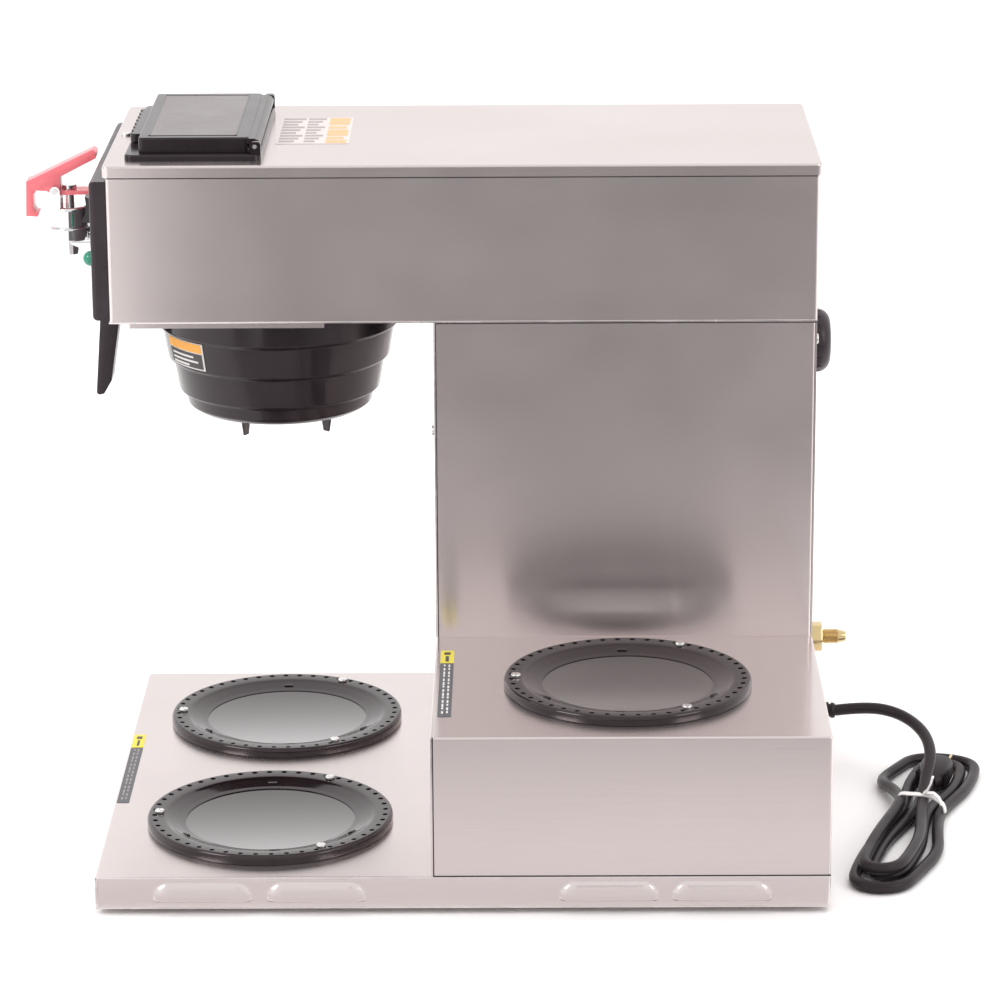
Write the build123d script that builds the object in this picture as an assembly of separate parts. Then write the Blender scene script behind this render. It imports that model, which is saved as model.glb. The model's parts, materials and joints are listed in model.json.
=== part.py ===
from build123d import *
import math
import os

# Commercial coffee brewer with a pour-over and plumbed supply, three warmers and a hot-water faucet.
# +X is the machine's right seen from its front, -Y is the front, +Z is up, and z = 0 is the counter.
# Units are millimetres. The origin is under the middle of the box that holds the object without its cord.

# ---- driving dimensions ----
SHEET = 1.2
FOOT_H = 4.0
BASE_W = 406.4
BASE_D = 472.2
BASE_H = 21.3
STEP_H = 94.5
TRUNK_D = 256.2
HEAD_Z = 340.4
COVER_TOP = 447.9
COVER_LIP = 8.0
COVER_OVERHANG = 1.7

LOUVER_DEPTH = 2.6

HALF_W = BASE_W / 2
FRONT_Y = -218.3
REAR_Y = FRONT_Y + BASE_D
TRUNK_Y = REAR_Y - TRUNK_D
DECK_Z = FOOT_H + BASE_H
STEP_Z = DECK_Z + STEP_H
TOWER_X = -HALF_W / 2

BEZEL_FACE_Y = -229.5
BEZEL_Z0 = 342.4
BEZEL_Z1 = 436.8
BEZEL_HALF_W = 100.0

WARMER_R = 81.5
WARMER_H = 6.6
WELL_R = 62.3
WARMER_FRONT_Y = -111.3
WARMER_REAR_Y = 125.7
WARMER_SPOTS = {
    "left": (TOWER_X, WARMER_FRONT_Y, DECK_Z),
    "right": (-TOWER_X, WARMER_FRONT_Y, DECK_Z),
    "raised": (-TOWER_X, WARMER_REAR_Y, STEP_Z),
}
WARMER_SCREW_R = 73.5
WARMER_SCREW_ANGLES = (270.0, 30.0, 150.0)

BAY_CEILING_Z = 366.0
RAIL_IN = 87.0
RAIL_OUT = 99.5
RAIL_Z = 336.7
RAIL_Y0 = -205.0
RAIL_Y1 = -75.0
FUNNEL_Y = WARMER_FRONT_Y
FUNNEL_RIM_R = 92.0
FUNNEL_RIM_Z0 = 339.0
FUNNEL_RIM_Z1 = 341.8
FUNNEL_WALL = 2.2

BASIN_X0 = -186.8
BASIN_X1 = -13.6
BASIN_Y0 = -206.5
BASIN_Y1 = -115.7
BASIN_TOP = 452.1
LID_X0 = -176.6
LID_X1 = -21.1
LID_Y0 = -197.3
LID_TOP = 462.3
LID_PIN_Y = -119.6
LID_PIN_Z = 457.2
LID_PIN_R = 1.5

FAUCET_Y = -253.0
SHANK_Z = 376.0
HANDLE_PIN_Y = -262.0
HANDLE_PIN_Z = 411.0
HANDLE_PIN_R = 2.0
HANDLE_W = 15.0

SWITCH_W = 12.4
SWITCH_H = 20.0
SWITCH_SPOTS = {
    "brew_switch": (-34.0, 411.0),
    "power_switch": (-62.0, 411.0),
    "warmer_switch_left": (-176.0, 383.0),
    "warmer_switch_right": (-148.0, 383.0),
    "warmer_switch_raised": (-148.0, 411.0),
}
ROCKER_TILT = 9.0
SCREW_HEAD_R = 3.5
SCREW_HOLE_R = 1.7
REAR_SCREWS = [(-190.0, 60.0), (-14.0, 60.0), (-190.0, 325.0), (-14.0, 325.0)]
TOWER_SCREWS = [(-188.0, 262.0), (-15.0, 262.0)]
COVER_SCREW_Y = FRONT_Y + 5.5
LAMP_X = -32.0
LAMP_Z = 378.0

TANK_X0 = -186.0
TANK_X1 = -17.0
TANK_Y0 = 58.0
TANK_Y1 = 233.0
TANK_Z0 = 162.0
TANK_Z1 = 400.0

DIAL_Z = 301.7
DIAL_R = 22.0
INLET_X = -101.6
INLET_Z = 85.9
INLET_THREAD_R = 5.56

CORD_D = 8.0
CORD_EXIT_X = -70.0
CORD_EXIT_Z = 41.5
RELIEF_LENGTH = 22.0
# The lead's route, from the strain relief's tip to the tied middle of the hank.
LEAD_ROUTE = [
    (-70.0, 275.9, 41.5),
    (-68.0, 298.0, 45.0),
    (-58.5, 320.0, 43.5),
    (-36.0, 335.0, 38.5),
    (-9.0, 338.5, 31.0),
    (16.0, 331.5, 20.5),
]
# The hank lies along the counter behind the base, tied at its middle.
TIE_X = 36.0
TIE_Y = 327.0
HANK_HEADING = -16.6
HANK_H = 18.2
HANK_WAIST_HALF = 17.8
TIE_WIDTH = 5.0
TIE_THICKNESS = 1.0
PLUG_LENGTH = 34.0
PLUG_W = 22.0
PLUG_H = 20.0
PLUG_U = -59.0
PLUG_V = -3.0

PARTS = {}


# ---- helpers ----
def box(x0, x1, y0, y1, z0, z1):
    centre = Pos((x0 + x1) / 2, (y0 + y1) / 2, (z0 + z1) / 2)
    return centre * Box(x1 - x0, y1 - y0, z1 - z0)


def rod_z(x, y, z0, z1, radius):
    return Pos(x, y, (z0 + z1) / 2) * Cylinder(radius, z1 - z0)


def rod_y(x, z, y0, y1, radius):
    return Pos(x, (y0 + y1) / 2, z) * Rot(90, 0, 0) * Cylinder(radius, y1 - y0)


def rod_x(y, z, x0, x1, radius):
    return Pos((x0 + x1) / 2, y, z) * Rot(0, 90, 0) * Cylinder(radius, x1 - x0)


def hex_y(x, z, y0, y1, across_flats):
    flat = RegularPolygon(across_flats / 2, 6, major_radius=False)
    return Pos(x, y0, z) * Rot(-90, 0, 0) * extrude(flat, y1 - y0)


def soft_box(x0, x1, y0, y1, z0, z1, radius, top_radius=0.0):
    """A block with rounded upright corners and, if asked, a rounded top edge."""
    block = box(x0, x1, y0, y1, z0, z1)
    block = fillet(block.edges().filter_by(Axis.Z), radius)
    if top_radius:
        block = fillet(block.faces().sort_by(Axis.Z)[-1].edges(), top_radius)
    return block


def turned(points, x, y, z):
    """A solid of revolution about an upright axis, from (radius, height) points."""
    outline = Polyline([(r, 0, h) for r, h in points], close=True)
    return Pos(x, y, z) * revolve(make_face(outline), Axis.Z)


def yz_prism(points, x0, x1):
    """A flat side outline in Y and Z, drawn out along X."""
    outline = Polyline([(x0, y, z) for y, z in points], close=True)
    return extrude(make_face(outline), x1 - x0, dir=(1, 0, 0))


def pipe(route, bend, radius, bore):
    """A hose or pipe along straight runs with round bends."""
    path = FilletPolyline(*route, radius=bend)
    start = Plane(origin=path @ 0, z_dir=path % 0)
    tube = sweep(start * Circle(radius), path)
    if bore:
        tube -= sweep(start * Circle(bore), path)
    return tube


def unit(a, b):
    length = math.dist(a, b)
    return tuple((q - p) / length for p, q in zip(a, b))


def bend_radii(route):
    """The largest arc at each corner that its two straight runs allow."""
    radii = []
    for before, corner, after in zip(route, route[1:], route[2:]):
        turn = Vector(*unit(before, corner)).get_angle(Vector(*unit(corner, after)))
        shorter = min(math.dist(before, corner), math.dist(corner, after))
        radii.append(0.45 * shorter / math.tan(math.radians(turn / 2)))
    return radii


def pan_screw(x, y, z, head_r, depth):
    head = rod_z(x, y, z, z + 1.9, head_r)
    head = fillet(head.faces().sort_by(Axis.Z)[-1].edges(), 0.9)
    slot = box(x - head_r, x + head_r, y - 0.4, y + 0.4, z + 1.2, z + 2.5)
    return head - slot + rod_z(x, y, z - depth, z, head_r * 0.45)


def keep(name, shape):
    shape.label = name
    PARTS[name] = shape


# ---- base ----
def louver(y0, y1):
    """One outward-pressed vent on the base's right side, open along its lower edge."""
    height = 12.0
    depth = LOUVER_DEPTH
    z0 = 9.5
    outer = box(HALF_W - SHEET, HALF_W + depth, y0, y1, z0, z0 + height)
    rounded = outer.edges().filter_by(Axis.Y).group_by(Axis.X)[-1].sort_by(Axis.Z)[-1]
    outer = fillet(rounded, 2.4)
    inner = box(HALF_W - 3 * SHEET, HALF_W + depth - 1.0, y0 + 1.0, y1 - 1.0, z0 - 1.0, z0 + height - 1.4)
    return outer, inner


def make_base():
    top = soft_box(-HALF_W, HALF_W, FRONT_Y, REAR_Y, FOOT_H, DECK_Z, 3.0, 1.5)
    hollow = soft_box(-HALF_W + SHEET, HALF_W - SHEET, FRONT_Y + SHEET, REAR_Y - SHEET,
                      FOOT_H - 1, DECK_Z - SHEET, 2.0)
    shell = top - hollow
    for name in ("left", "right"):
        x, y, z = WARMER_SPOTS[name]
        shell -= rod_z(x, y, z - 5, z + 5, 58.0)
    tower_wire_way = box(-190, -14, TRUNK_Y + 14, REAR_Y - 14, DECK_Z - 5, DECK_Z + 5)
    step_wire_way = box(14, 190, TRUNK_Y + 14, REAR_Y - 14, DECK_Z - 5, DECK_Z + 5)
    shell -= tower_wire_way + step_wire_way
    louver_starts = (FRONT_Y + 37.9, FRONT_Y + 111.0, FRONT_Y + 299.0, FRONT_Y + 371.5)
    for start in louver_starts:
        outer, inner = louver(start, start + 62.3)
        shell = shell + outer - inner
    keep("base_housing", shell)

    plate = box(-HALF_W + SHEET, HALF_W - SHEET, FRONT_Y + SHEET, REAR_Y - SHEET, FOOT_H, FOOT_H + SHEET)
    keep("base_pan", fillet(plate.edges().filter_by(Axis.Z), 2.0))

    foot = Pos(0, 0, FOOT_H / 2) * Cone(9.0, 11.0, FOOT_H)
    inset = 26.0
    feet = [
        Pos(sx * (HALF_W - inset), y, 0) * foot
        for sx in (-1, 1)
        for y in (FRONT_Y + inset, REAR_Y - inset)
    ]
    keep("feet", Compound(children=feet))


def make_step():
    outer = soft_box(0, HALF_W, TRUNK_Y, REAR_Y, DECK_Z, STEP_Z, 2.5, 1.5)
    inner = box(-1, HALF_W - SHEET, TRUNK_Y + SHEET, REAR_Y - SHEET, DECK_Z - 1, STEP_Z - SHEET)
    x, y, z = WARMER_SPOTS["raised"]
    keep("step_housing", outer - inner - rod_z(x, y, z - 5, z + 5, 58.0))


# ---- tower and head ----
def make_tower():
    outer = soft_box(-HALF_W, 0, TRUNK_Y, REAR_Y - SHEET, DECK_Z, HEAD_Z, 2.0)
    inner = box(-HALF_W + SHEET, -SHEET, TRUNK_Y + SHEET, REAR_Y + 1, DECK_Z - 1, HEAD_Z + 1)
    wire_way = box(-5, 5, TRUNK_Y + 40, REAR_Y - 40, DECK_Z + 12, STEP_Z - 14)
    shell = outer - inner - wire_way
    for x, z in TOWER_SCREWS:
        shell -= rod_y(x, z, TRUNK_Y - 1, TRUNK_Y + 2, SCREW_HOLE_R)
    keep("tower_shell", shell)

    panel = box(-HALF_W + SHEET, -SHEET, REAR_Y - SHEET, REAR_Y, DECK_Z + 0.2, HEAD_Z - 0.2)
    panel -= rod_y(INLET_X, INLET_Z, REAR_Y - 5, REAR_Y + 5, 6.3)
    panel -= rod_y(CORD_EXIT_X, CORD_EXIT_Z, REAR_Y - 5, REAR_Y + 5, 7.0)
    panel -= rod_y(TOWER_X, DIAL_Z, REAR_Y - 5, REAR_Y + 5, 3.5)
    for row in range(6):
        z = 200.0 + 9.0 * row
        panel -= box(-175, -125, REAR_Y - 5, REAR_Y + 5, z, z + 3)
        panel -= box(-78, -28, REAR_Y - 5, REAR_Y + 5, z, z + 3)
    for x, z in REAR_SCREWS:
        panel -= rod_y(x, z, REAR_Y - 5, REAR_Y + 5, SCREW_HOLE_R)
    keep("rear_panel", panel)


def switch_windows(y0, y1):
    cuts = [box(x - SWITCH_W / 2 - 1.5, x + SWITCH_W / 2 + 1.5, y0, y1,
                z - SWITCH_H / 2 - 1.5, z + SWITCH_H / 2 + 1.5)
            for x, z in SWITCH_SPOTS.values()]
    cuts.append(rod_y(LAMP_X, LAMP_Z, y0, y1, 4.2))
    cuts.append(rod_y(TOWER_X, SHANK_Z, y0, y1, 6.6))
    return cuts


def make_head():
    wall_top = COVER_TOP - 2.0
    outer = soft_box(-HALF_W, 0, FRONT_Y, REAR_Y, HEAD_Z, wall_top, 2.5)
    inner = box(-HALF_W + SHEET, -SHEET, FRONT_Y + SHEET, REAR_Y - SHEET, HEAD_Z - 1, wall_top + 1)
    shell = outer - inner
    ceiling = box(-HALF_W + SHEET, -SHEET, FRONT_Y + SHEET, TRUNK_Y, BAY_CEILING_Z, BAY_CEILING_Z + SHEET)
    ceiling -= rod_z(TOWER_X, FUNNEL_Y, BAY_CEILING_Z - 5, BAY_CEILING_Z + 5, 8.2)
    bay_back = box(-HALF_W + SHEET, -SHEET, TRUNK_Y - SHEET, TRUNK_Y, HEAD_Z, BAY_CEILING_Z + SHEET)
    shell += ceiling + bay_back
    shell -= box(-HALF_W + SHEET, -SHEET, FRONT_Y - 1, FRONT_Y + SHEET, HEAD_Z - 1, BEZEL_Z0 + 0.6)
    for cut in switch_windows(FRONT_Y - 1, FRONT_Y + 2 * SHEET):
        shell -= cut
    keep("head_shell", shell)

    edge = COVER_OVERHANG
    cap = soft_box(-HALF_W - edge, edge, FRONT_Y - edge, REAR_Y + edge,
                   COVER_TOP - COVER_LIP, COVER_TOP, 4.0, 1.6)
    under = soft_box(-HALF_W - 0.3, 0.3, FRONT_Y - 0.3, REAR_Y + 0.3,
                     COVER_TOP - COVER_LIP - 1, COVER_TOP - 1.4, 2.8)
    well = box(BASIN_X0 + 8, BASIN_X1 - 8, BASIN_Y0 + 8, BASIN_Y1 - 8, COVER_TOP - 9, COVER_TOP + 9)
    screw_hole = rod_z(TOWER_X, COVER_SCREW_Y, COVER_TOP - 5, COVER_TOP + 5, SCREW_HOLE_R)
    keep("top_cover", cap - under - well - screw_hole)


def make_bezel():
    x0 = TOWER_X - BEZEL_HALF_W
    x1 = TOWER_X + BEZEL_HALF_W
    block = box(x0, x1, BEZEL_FACE_Y, FRONT_Y, BEZEL_Z0, BEZEL_Z1)
    block = fillet(block.faces().sort_by(Axis.Y)[0].edges(), 3.5)
    block -= box(x0 + 3, x1 - 3, BEZEL_FACE_Y + 3.2, FRONT_Y + 1, BEZEL_Z0 + 3, BEZEL_Z1 - 3)
    for cut in switch_windows(BEZEL_FACE_Y - 1, FRONT_Y + 1):
        block -= cut
    keep("front_bezel", block)


def make_fasteners():
    screws = []
    for x, y, z in WARMER_SPOTS.values():
        for angle in WARMER_SCREW_ANGLES:
            sx = x + WARMER_SCREW_R * math.cos(math.radians(angle))
            sy = y + WARMER_SCREW_R * math.sin(math.radians(angle))
            screws.append(pan_screw(sx, sy, z + WARMER_H, 3.2, WARMER_H))
    keep("warmer_screws", Compound(children=screws))

    panel = [pan_screw(TOWER_X, COVER_SCREW_Y, COVER_TOP, SCREW_HEAD_R, SHEET)]
    facing_back = Rot(-90, 0, 0) * pan_screw(0, 0, 0, SCREW_HEAD_R, SHEET)
    for x, z in REAR_SCREWS:
        panel.append(Pos(x, REAR_Y, z) * facing_back)
    facing_front = Rot(90, 0, 0) * pan_screw(0, 0, 0, SCREW_HEAD_R, SHEET)
    for x, z in TOWER_SCREWS:
        panel.append(Pos(x, TRUNK_Y, z) * facing_front)
    keep("panel_screws", Compound(children=panel))


# ---- warmers ----
def make_warmers():
    rim = [
        (WARMER_R, 0), (WARMER_R, 4.6), (WARMER_R - 0.7, 5.9), (WARMER_R - 2, WARMER_H),
        (68.0, WARMER_H - 0.9), (65.4, WARMER_H - 1.6), (WELL_R + 0.4, 0.0),
        (WELL_R + 1.6, 0), (66.2, WARMER_H - 2.9), (68.2, WARMER_H - 2.2),
        (WARMER_R - 2.4, WARMER_H - 1.3), (WARMER_R - 1.2, 4.6), (WARMER_R - 1.2, 0),
    ]
    elements = []
    for name, (x, y, z) in WARMER_SPOTS.items():
        pan = turned(rim, x, y, z)
        for angle in WARMER_SCREW_ANGLES:
            sx = x + WARMER_SCREW_R * math.cos(math.radians(angle))
            sy = y + WARMER_SCREW_R * math.sin(math.radians(angle))
            pan -= rod_z(sx, sy, z - 1, z + 10, 1.5)
            seat = rod_z(sx, sy, z + WARMER_H, z + WARMER_H + 3, 3.4)
            pan -= seat
        keep(f"warmer_pan_{name}", pan)
        plate = rod_z(x, y, z, z + 1.4, WELL_R)
        keep(f"warmer_plate_{name}", fillet(plate.faces().sort_by(Axis.Z)[-1].edges(), 0.6))
        element = rod_z(x, y, z - 4.0, z, 56.0) - rod_z(x, y, z - 5.0, z + 1, 22.0)
        elements.append(element)
    keep("warmer_elements", Compound(children=elements))


# ---- brew funnel ----
def make_funnel():
    outside = [
        (83.5, FUNNEL_RIM_Z0), (83.5, 318.2), (80.4, 317.0), (76.4, 294.6), (73.0, 293.4),
        (69.4, 272.0), (65.6, 270.8), (63.6, 262.0), (58.5, 258.4), (44.0, 257.2), (9.0, 255.2),
        (9.0, 250.2), (4.0, 250.2),
    ]
    w = FUNNEL_WALL
    inside = [
        (4.0, 257.6), (44.0, 259.6), (57.2, 261.0), (61.4, 263.8), (63.5, 272.8), (67.2, 274.0),
        (70.9, 295.4), (74.2, 296.6), (78.3, 319.0), (83.5 - w, 320.2), (83.5 - w, FUNNEL_RIM_Z1),
        (FUNNEL_RIM_R, FUNNEL_RIM_Z1), (FUNNEL_RIM_R, FUNNEL_RIM_Z0),
    ]
    bowl = turned(outside + inside, TOWER_X, FUNNEL_Y, 0)
    for angle in (20.0, 140.0, 260.0):
        rib = box(46.0, 48.4, -5.0, 5.0, 247.0, 259.0)
        bowl += Pos(TOWER_X, FUNNEL_Y, 0) * Rot(0, 0, angle) * rib
    keep("funnel", bowl)

    side = [
        (-226.0, FUNNEL_RIM_Z1), (-231.5, 334.0), (-233.8, 321.0), (-237.9, 268.8), (-236.4, 267.4),
        (-232.6, 268.2), (-227.2, 277.5), (-221.0, 318.0), (-218.5, 330.0), (-212.0, 336.0),
        (-201.0, 336.0), (-201.0, FUNNEL_RIM_Z1),
    ]
    handle = yz_prism(side, TOWER_X - 12.0, TOWER_X + 12.0)
    handle -= rod_z(TOWER_X, FUNNEL_Y, 300.0, 360.0, FUNNEL_RIM_R)
    keep("funnel_handle", handle)


def make_rails():
    def rail(side):
        wall = box(RAIL_OUT - 2, RAIL_OUT, RAIL_Y0, RAIL_Y1, RAIL_Z, BAY_CEILING_Z)
        ledge = box(RAIL_IN, RAIL_OUT, RAIL_Y0, RAIL_Y1, RAIL_Z, RAIL_Z + 2.0)
        stop = box(RAIL_IN + 5.6, RAIL_OUT, RAIL_Y1 - 2, RAIL_Y1, RAIL_Z, BAY_CEILING_Z)
        shape = wall + ledge + stop
        if side < 0:
            shape = mirror(shape, Plane.YZ)
        return Pos(TOWER_X, 0, 0) * shape

    keep("funnel_rails", Compound(children=[rail(-1), rail(1)]))


def make_sprayhead():
    dish = [(8.0, 366.0), (20.0, 364.6), (30.0, 357.5), (30.0, 354.6), (0.0, 354.6), (0.0, 356.8),
            (27.0, 356.8), (19.0, 362.4), (6.0, 363.6), (6.0, 366.0)]
    head = turned(dish, TOWER_X, FUNNEL_Y, 0)
    for ring_r, count in ((9.0, 6), (18.0, 10)):
        for k in range(count):
            angle = 2 * math.pi * k / count
            hx = TOWER_X + ring_r * math.cos(angle)
            hy = FUNNEL_Y + ring_r * math.sin(angle)
            head -= rod_z(hx, hy, 353.0, 358.0, 1.0)
    keep("sprayhead", head)
    route = [(TOWER_X, FUNNEL_Y, 366.2), (TOWER_X, FUNNEL_Y, 424.0), (TOWER_X, 84.0, 428.0),
             (TOWER_X, 84.0, 404.2)]
    keep("spray_tube", pipe(route, 14.0, 6.0, 4.5))


# ---- pour-in basin and its lid ----
def make_basin():
    frame = soft_box(BASIN_X0, BASIN_X1, BASIN_Y0, BASIN_Y1, COVER_TOP, BASIN_TOP, 6.0, 1.5)
    bowl = box(BASIN_X0 + 9, BASIN_X1 - 9, BASIN_Y0 + 9, BASIN_Y1 - 9, 424.0, COVER_TOP)
    hollow = box(BASIN_X0 + 11, BASIN_X1 - 11, BASIN_Y0 + 11, BASIN_Y1 - 14, 426.0, BASIN_TOP + 1)
    drain_x, drain_y = -60.0, -150.0
    drain = rod_z(drain_x, drain_y, 414.0, 424.0, 8.0)
    bore = rod_z(drain_x, drain_y, 413.0, 430.0, 6.0)
    body = frame + bowl + drain - hollow - bore
    lug_gap = 2.2
    for x0, x1 in ((BASIN_X0 + 1.5, LID_X0 - lug_gap), (LID_X1 + lug_gap, BASIN_X1 - 1.5)):
        lug = box(x0, x1, LID_PIN_Y - 3.2, BASIN_Y1, BASIN_TOP - 1, LID_PIN_Z + 3.2)
        lug = fillet(lug.faces().sort_by(Axis.Z)[-1].edges().filter_by(Axis.X), 2.2)
        body += lug - rod_x(LID_PIN_Y, LID_PIN_Z, x0 - 1, x1 + 1, LID_PIN_R)
    keep("pour_in_basin", body)

    keep("lid_hinge_pin", rod_x(LID_PIN_Y, LID_PIN_Z, BASIN_X0 + 1.5, BASIN_X1 - 1.5, LID_PIN_R))


def make_lid():
    top = soft_box(LID_X0, LID_X1, LID_Y0, LID_PIN_Y - 4.2, BASIN_TOP + 0.2, LID_TOP, 3.0, 1.2)
    under = box(LID_X0 + 2, LID_X1 - 2, LID_Y0 + 2, LID_PIN_Y - 6.4, BASIN_TOP - 1, LID_TOP - 2)
    lid = top - under
    strap = box(LID_X0 + 1.0, LID_X1 - 1.0, LID_PIN_Y - 5.0, LID_PIN_Y, LID_TOP - 4.6, LID_TOP - 1.0)
    barrel = rod_x(LID_PIN_Y, LID_PIN_Z, LID_X0 + 1.0, LID_X1 - 1.0, 3.6)
    lid += strap + barrel
    lid -= rod_x(LID_PIN_Y, LID_PIN_Z, LID_X0 - 1, LID_X1 + 1, LID_PIN_R + 0.06)
    middle = (LID_X0 + LID_X1) / 2
    tab = box(middle - 44, middle + 44, LID_Y0 - 8.5, LID_Y0 + 1, BASIN_TOP + 0.6, BASIN_TOP + 6.2)
    tab = fillet(tab.faces().sort_by(Axis.Y)[0].edges().filter_by(Axis.Z), 4.0)
    for k in range(-3, 4):
        tab -= rod_z(middle + 11.6 * k, LID_Y0 - 11.0, BASIN_TOP, BASIN_TOP + 10, 4.6)
    keep("pour_in_lid", lid + tab)


# ---- water system inside ----
def make_tank():
    shell = soft_box(TANK_X0, TANK_X1, TANK_Y0, TANK_Y1, TANK_Z0, TANK_Z1, 8.0)
    hollow = soft_box(TANK_X0 + 1, TANK_X1 - 1, TANK_Y0 + 1, TANK_Y1 - 1, TANK_Z0 + 1, TANK_Z1 + 1, 7.0)
    outlet = rod_y(-132.0, SHANK_Z, TANK_Y0 - 2, TANK_Y0 + 3, 4.5)
    keep("tank", shell - hollow - outlet)
    gasket = soft_box(TANK_X0, TANK_X1, TANK_Y0, TANK_Y1, TANK_Z1, TANK_Z1 + 2, 8.0)
    gasket -= soft_box(TANK_X0 + 6, TANK_X1 - 6, TANK_Y0 + 6, TANK_Y1 - 6, TANK_Z1 - 1, TANK_Z1 + 3, 4.0)
    keep("tank_gasket", gasket)
    lid = soft_box(TANK_X0, TANK_X1, TANK_Y0, TANK_Y1, TANK_Z1 + 2, TANK_Z1 + 4.2, 8.0)
    lid -= rod_z(-60.0, 84.0, TANK_Z1, TANK_Z1 + 6, 5.0)
    lid -= rod_z(TOWER_X, 84.0, TANK_Z1, TANK_Z1 + 6, 4.5)
    lid -= rod_z(-150.0, 215.0, TANK_Z1, TANK_Z1 + 6, 2.4)
    keep("tank_lid", lid)

    legs = (-60.0, 60.0)
    route = [(legs[0], 0, TANK_Z1 + 2), (legs[0], 0, 190.0), (legs[1], 0, 190.0), (legs[1], 0, TANK_Z1 + 2)]
    loop = pipe(route, 20.0, 4.0, 0)
    keep("tank_heater", Pos(TOWER_X, 150.0, 0) * loop)
    keep("limit_thermostat", rod_z(-60.0, 150.0 + 30, TANK_Z1 + 4.2, TANK_Z1 + 14, 9.0))

    hose = [(-60.0, -150.0, 414.0), (-60.0, -150.0, 398.0), (-60.0, 40.0, 396.0), (-60.0, 56.0, 417.0),
            (-60.0, 84.0, 418.0), (-60.0, 84.0, TANK_Z1 + 4.2)]
    keep("fill_tube", pipe(hose, [7.5, 9.0, 8.0, 6.0], 6.5, 5.0))


def make_inlet():
    valve = box(-114.0, -89.0, 206.0, 242.0, INLET_Z - 13, INLET_Z + 13)
    coil = rod_z(-101.6, 222.0, INLET_Z + 13, INLET_Z + 42, 14.0)
    keep("inlet_valve", fillet(valve.edges().filter_by(Axis.Z), 3.0) + coil)
    stem = rod_y(INLET_X, INLET_Z, 242.0, REAR_Y, 6.2)
    collar = hex_y(INLET_X, INLET_Z, REAR_Y + 1.0, REAR_Y + 14.0, 19.0)
    shoulder = rod_y(INLET_X, INLET_Z, REAR_Y, REAR_Y + 1.0, 9.0)
    thread = rod_y(INLET_X, INLET_Z, REAR_Y + 14.0, REAR_Y + 26.0, INLET_THREAD_R)
    nose = Pos(INLET_X, REAR_Y + 27.65, INLET_Z) * Rot(-90, 0, 0) * Cone(INLET_THREAD_R - 0.9, 3.4, 3.3)
    bore = rod_y(INLET_X, INLET_Z, 246.0, REAR_Y + 31.0, 2.4)
    keep("inlet_fitting", stem + shoulder + collar + thread + nose - bore)
    nut = hex_y(INLET_X, INLET_Z, REAR_Y - SHEET - 6.0, REAR_Y - SHEET, 21.0)
    keep("inlet_nut", nut - rod_y(INLET_X, INLET_Z, REAR_Y - 12, REAR_Y + 1, 6.2))
    route = [(INLET_X, 206.0, INLET_Z), (INLET_X, 186.0, INLET_Z), (-150.0, 186.0, 104.0),
             (-150.0, 243.0, 132.0), (-150.0, 243.0, 424.0), (-150.0, 215.0, 424.0),
             (-150.0, 215.0, TANK_Z1 + 4.2)]
    keep("supply_tube", pipe(route, 9.0, 3.2, 2.2))


def make_controls():
    body = box(-124.0, -79.0, 236.5, REAR_Y - SHEET, DIAL_Z - 21, DIAL_Z + 21)
    keep("thermostat", fillet(body.edges().filter_by(Axis.Y), 3.0))
    timer = box(-192.0, -150.0, -190.0, -112.0, BAY_CEILING_Z + SHEET, BAY_CEILING_Z + 24)
    keep("brew_timer", fillet(timer.faces().sort_by(Axis.Z)[-1].edges(), 2.0))
    strip = box(-180.0, -130.0, 40.0, 62.0, DECK_Z + 8, DECK_Z + 26)
    foot = box(-186.0, -124.0, 36.0, 66.0, FOOT_H + SHEET, DECK_Z + 8)
    strip += foot
    for k in range(4):
        strip -= rod_z(-173.0 + 12.0 * k, 51.0, DECK_Z + 20, DECK_Z + 30, 3.6)
    keep("terminal_block", strip)


def make_dial():
    knob = rod_y(TOWER_X, DIAL_Z, REAR_Y + 0.6, REAR_Y + 16.0, DIAL_R)
    knob = fillet(knob.faces().sort_by(Axis.Y)[-1].edges(), 9.0)
    for k in range(18):
        angle = 20.0 * k
        groove = rod_y(DIAL_R + 0.8, 0, REAR_Y - 1, REAR_Y + 9.0, 1.5)
        knob -= Pos(TOWER_X, 0, DIAL_Z) * Rot(0, angle, 0) * groove
    spindle = rod_y(TOWER_X, DIAL_Z, REAR_Y - SHEET + 0.3, REAR_Y + 1.0, 3.0)
    pointer = box(TOWER_X - 0.8, TOWER_X + 0.8, REAR_Y + 15.2, REAR_Y + 17, DIAL_Z + 3, DIAL_Z + 30)
    keep("rear_dial", knob + spindle - pointer)


# ---- front panel ----
def rocker(x, z):
    ridge = 6.8
    outline = [
        (BEZEL_FACE_Y - ridge, z + 8.8), (BEZEL_FACE_Y - ridge + 2.6, z), (BEZEL_FACE_Y - ridge, z - 8.8),
        (BEZEL_FACE_Y - 0.5, z - 8.2), (BEZEL_FACE_Y + 3.5, z - 4.5), (BEZEL_FACE_Y + 3.5, z + 4.5),
        (BEZEL_FACE_Y - 0.5, z + 8.2),
    ]
    block = yz_prism(outline, x - SWITCH_W / 2 + 0.7, x + SWITCH_W / 2 - 0.7)
    block -= rod_x(BEZEL_FACE_Y, z, x - SWITCH_W, x + SWITCH_W, 1.05)
    pivot = Pos(0, BEZEL_FACE_Y, z)
    return pivot * Rot(-ROCKER_TILT, 0, 0) * pivot.inverse() * block


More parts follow.
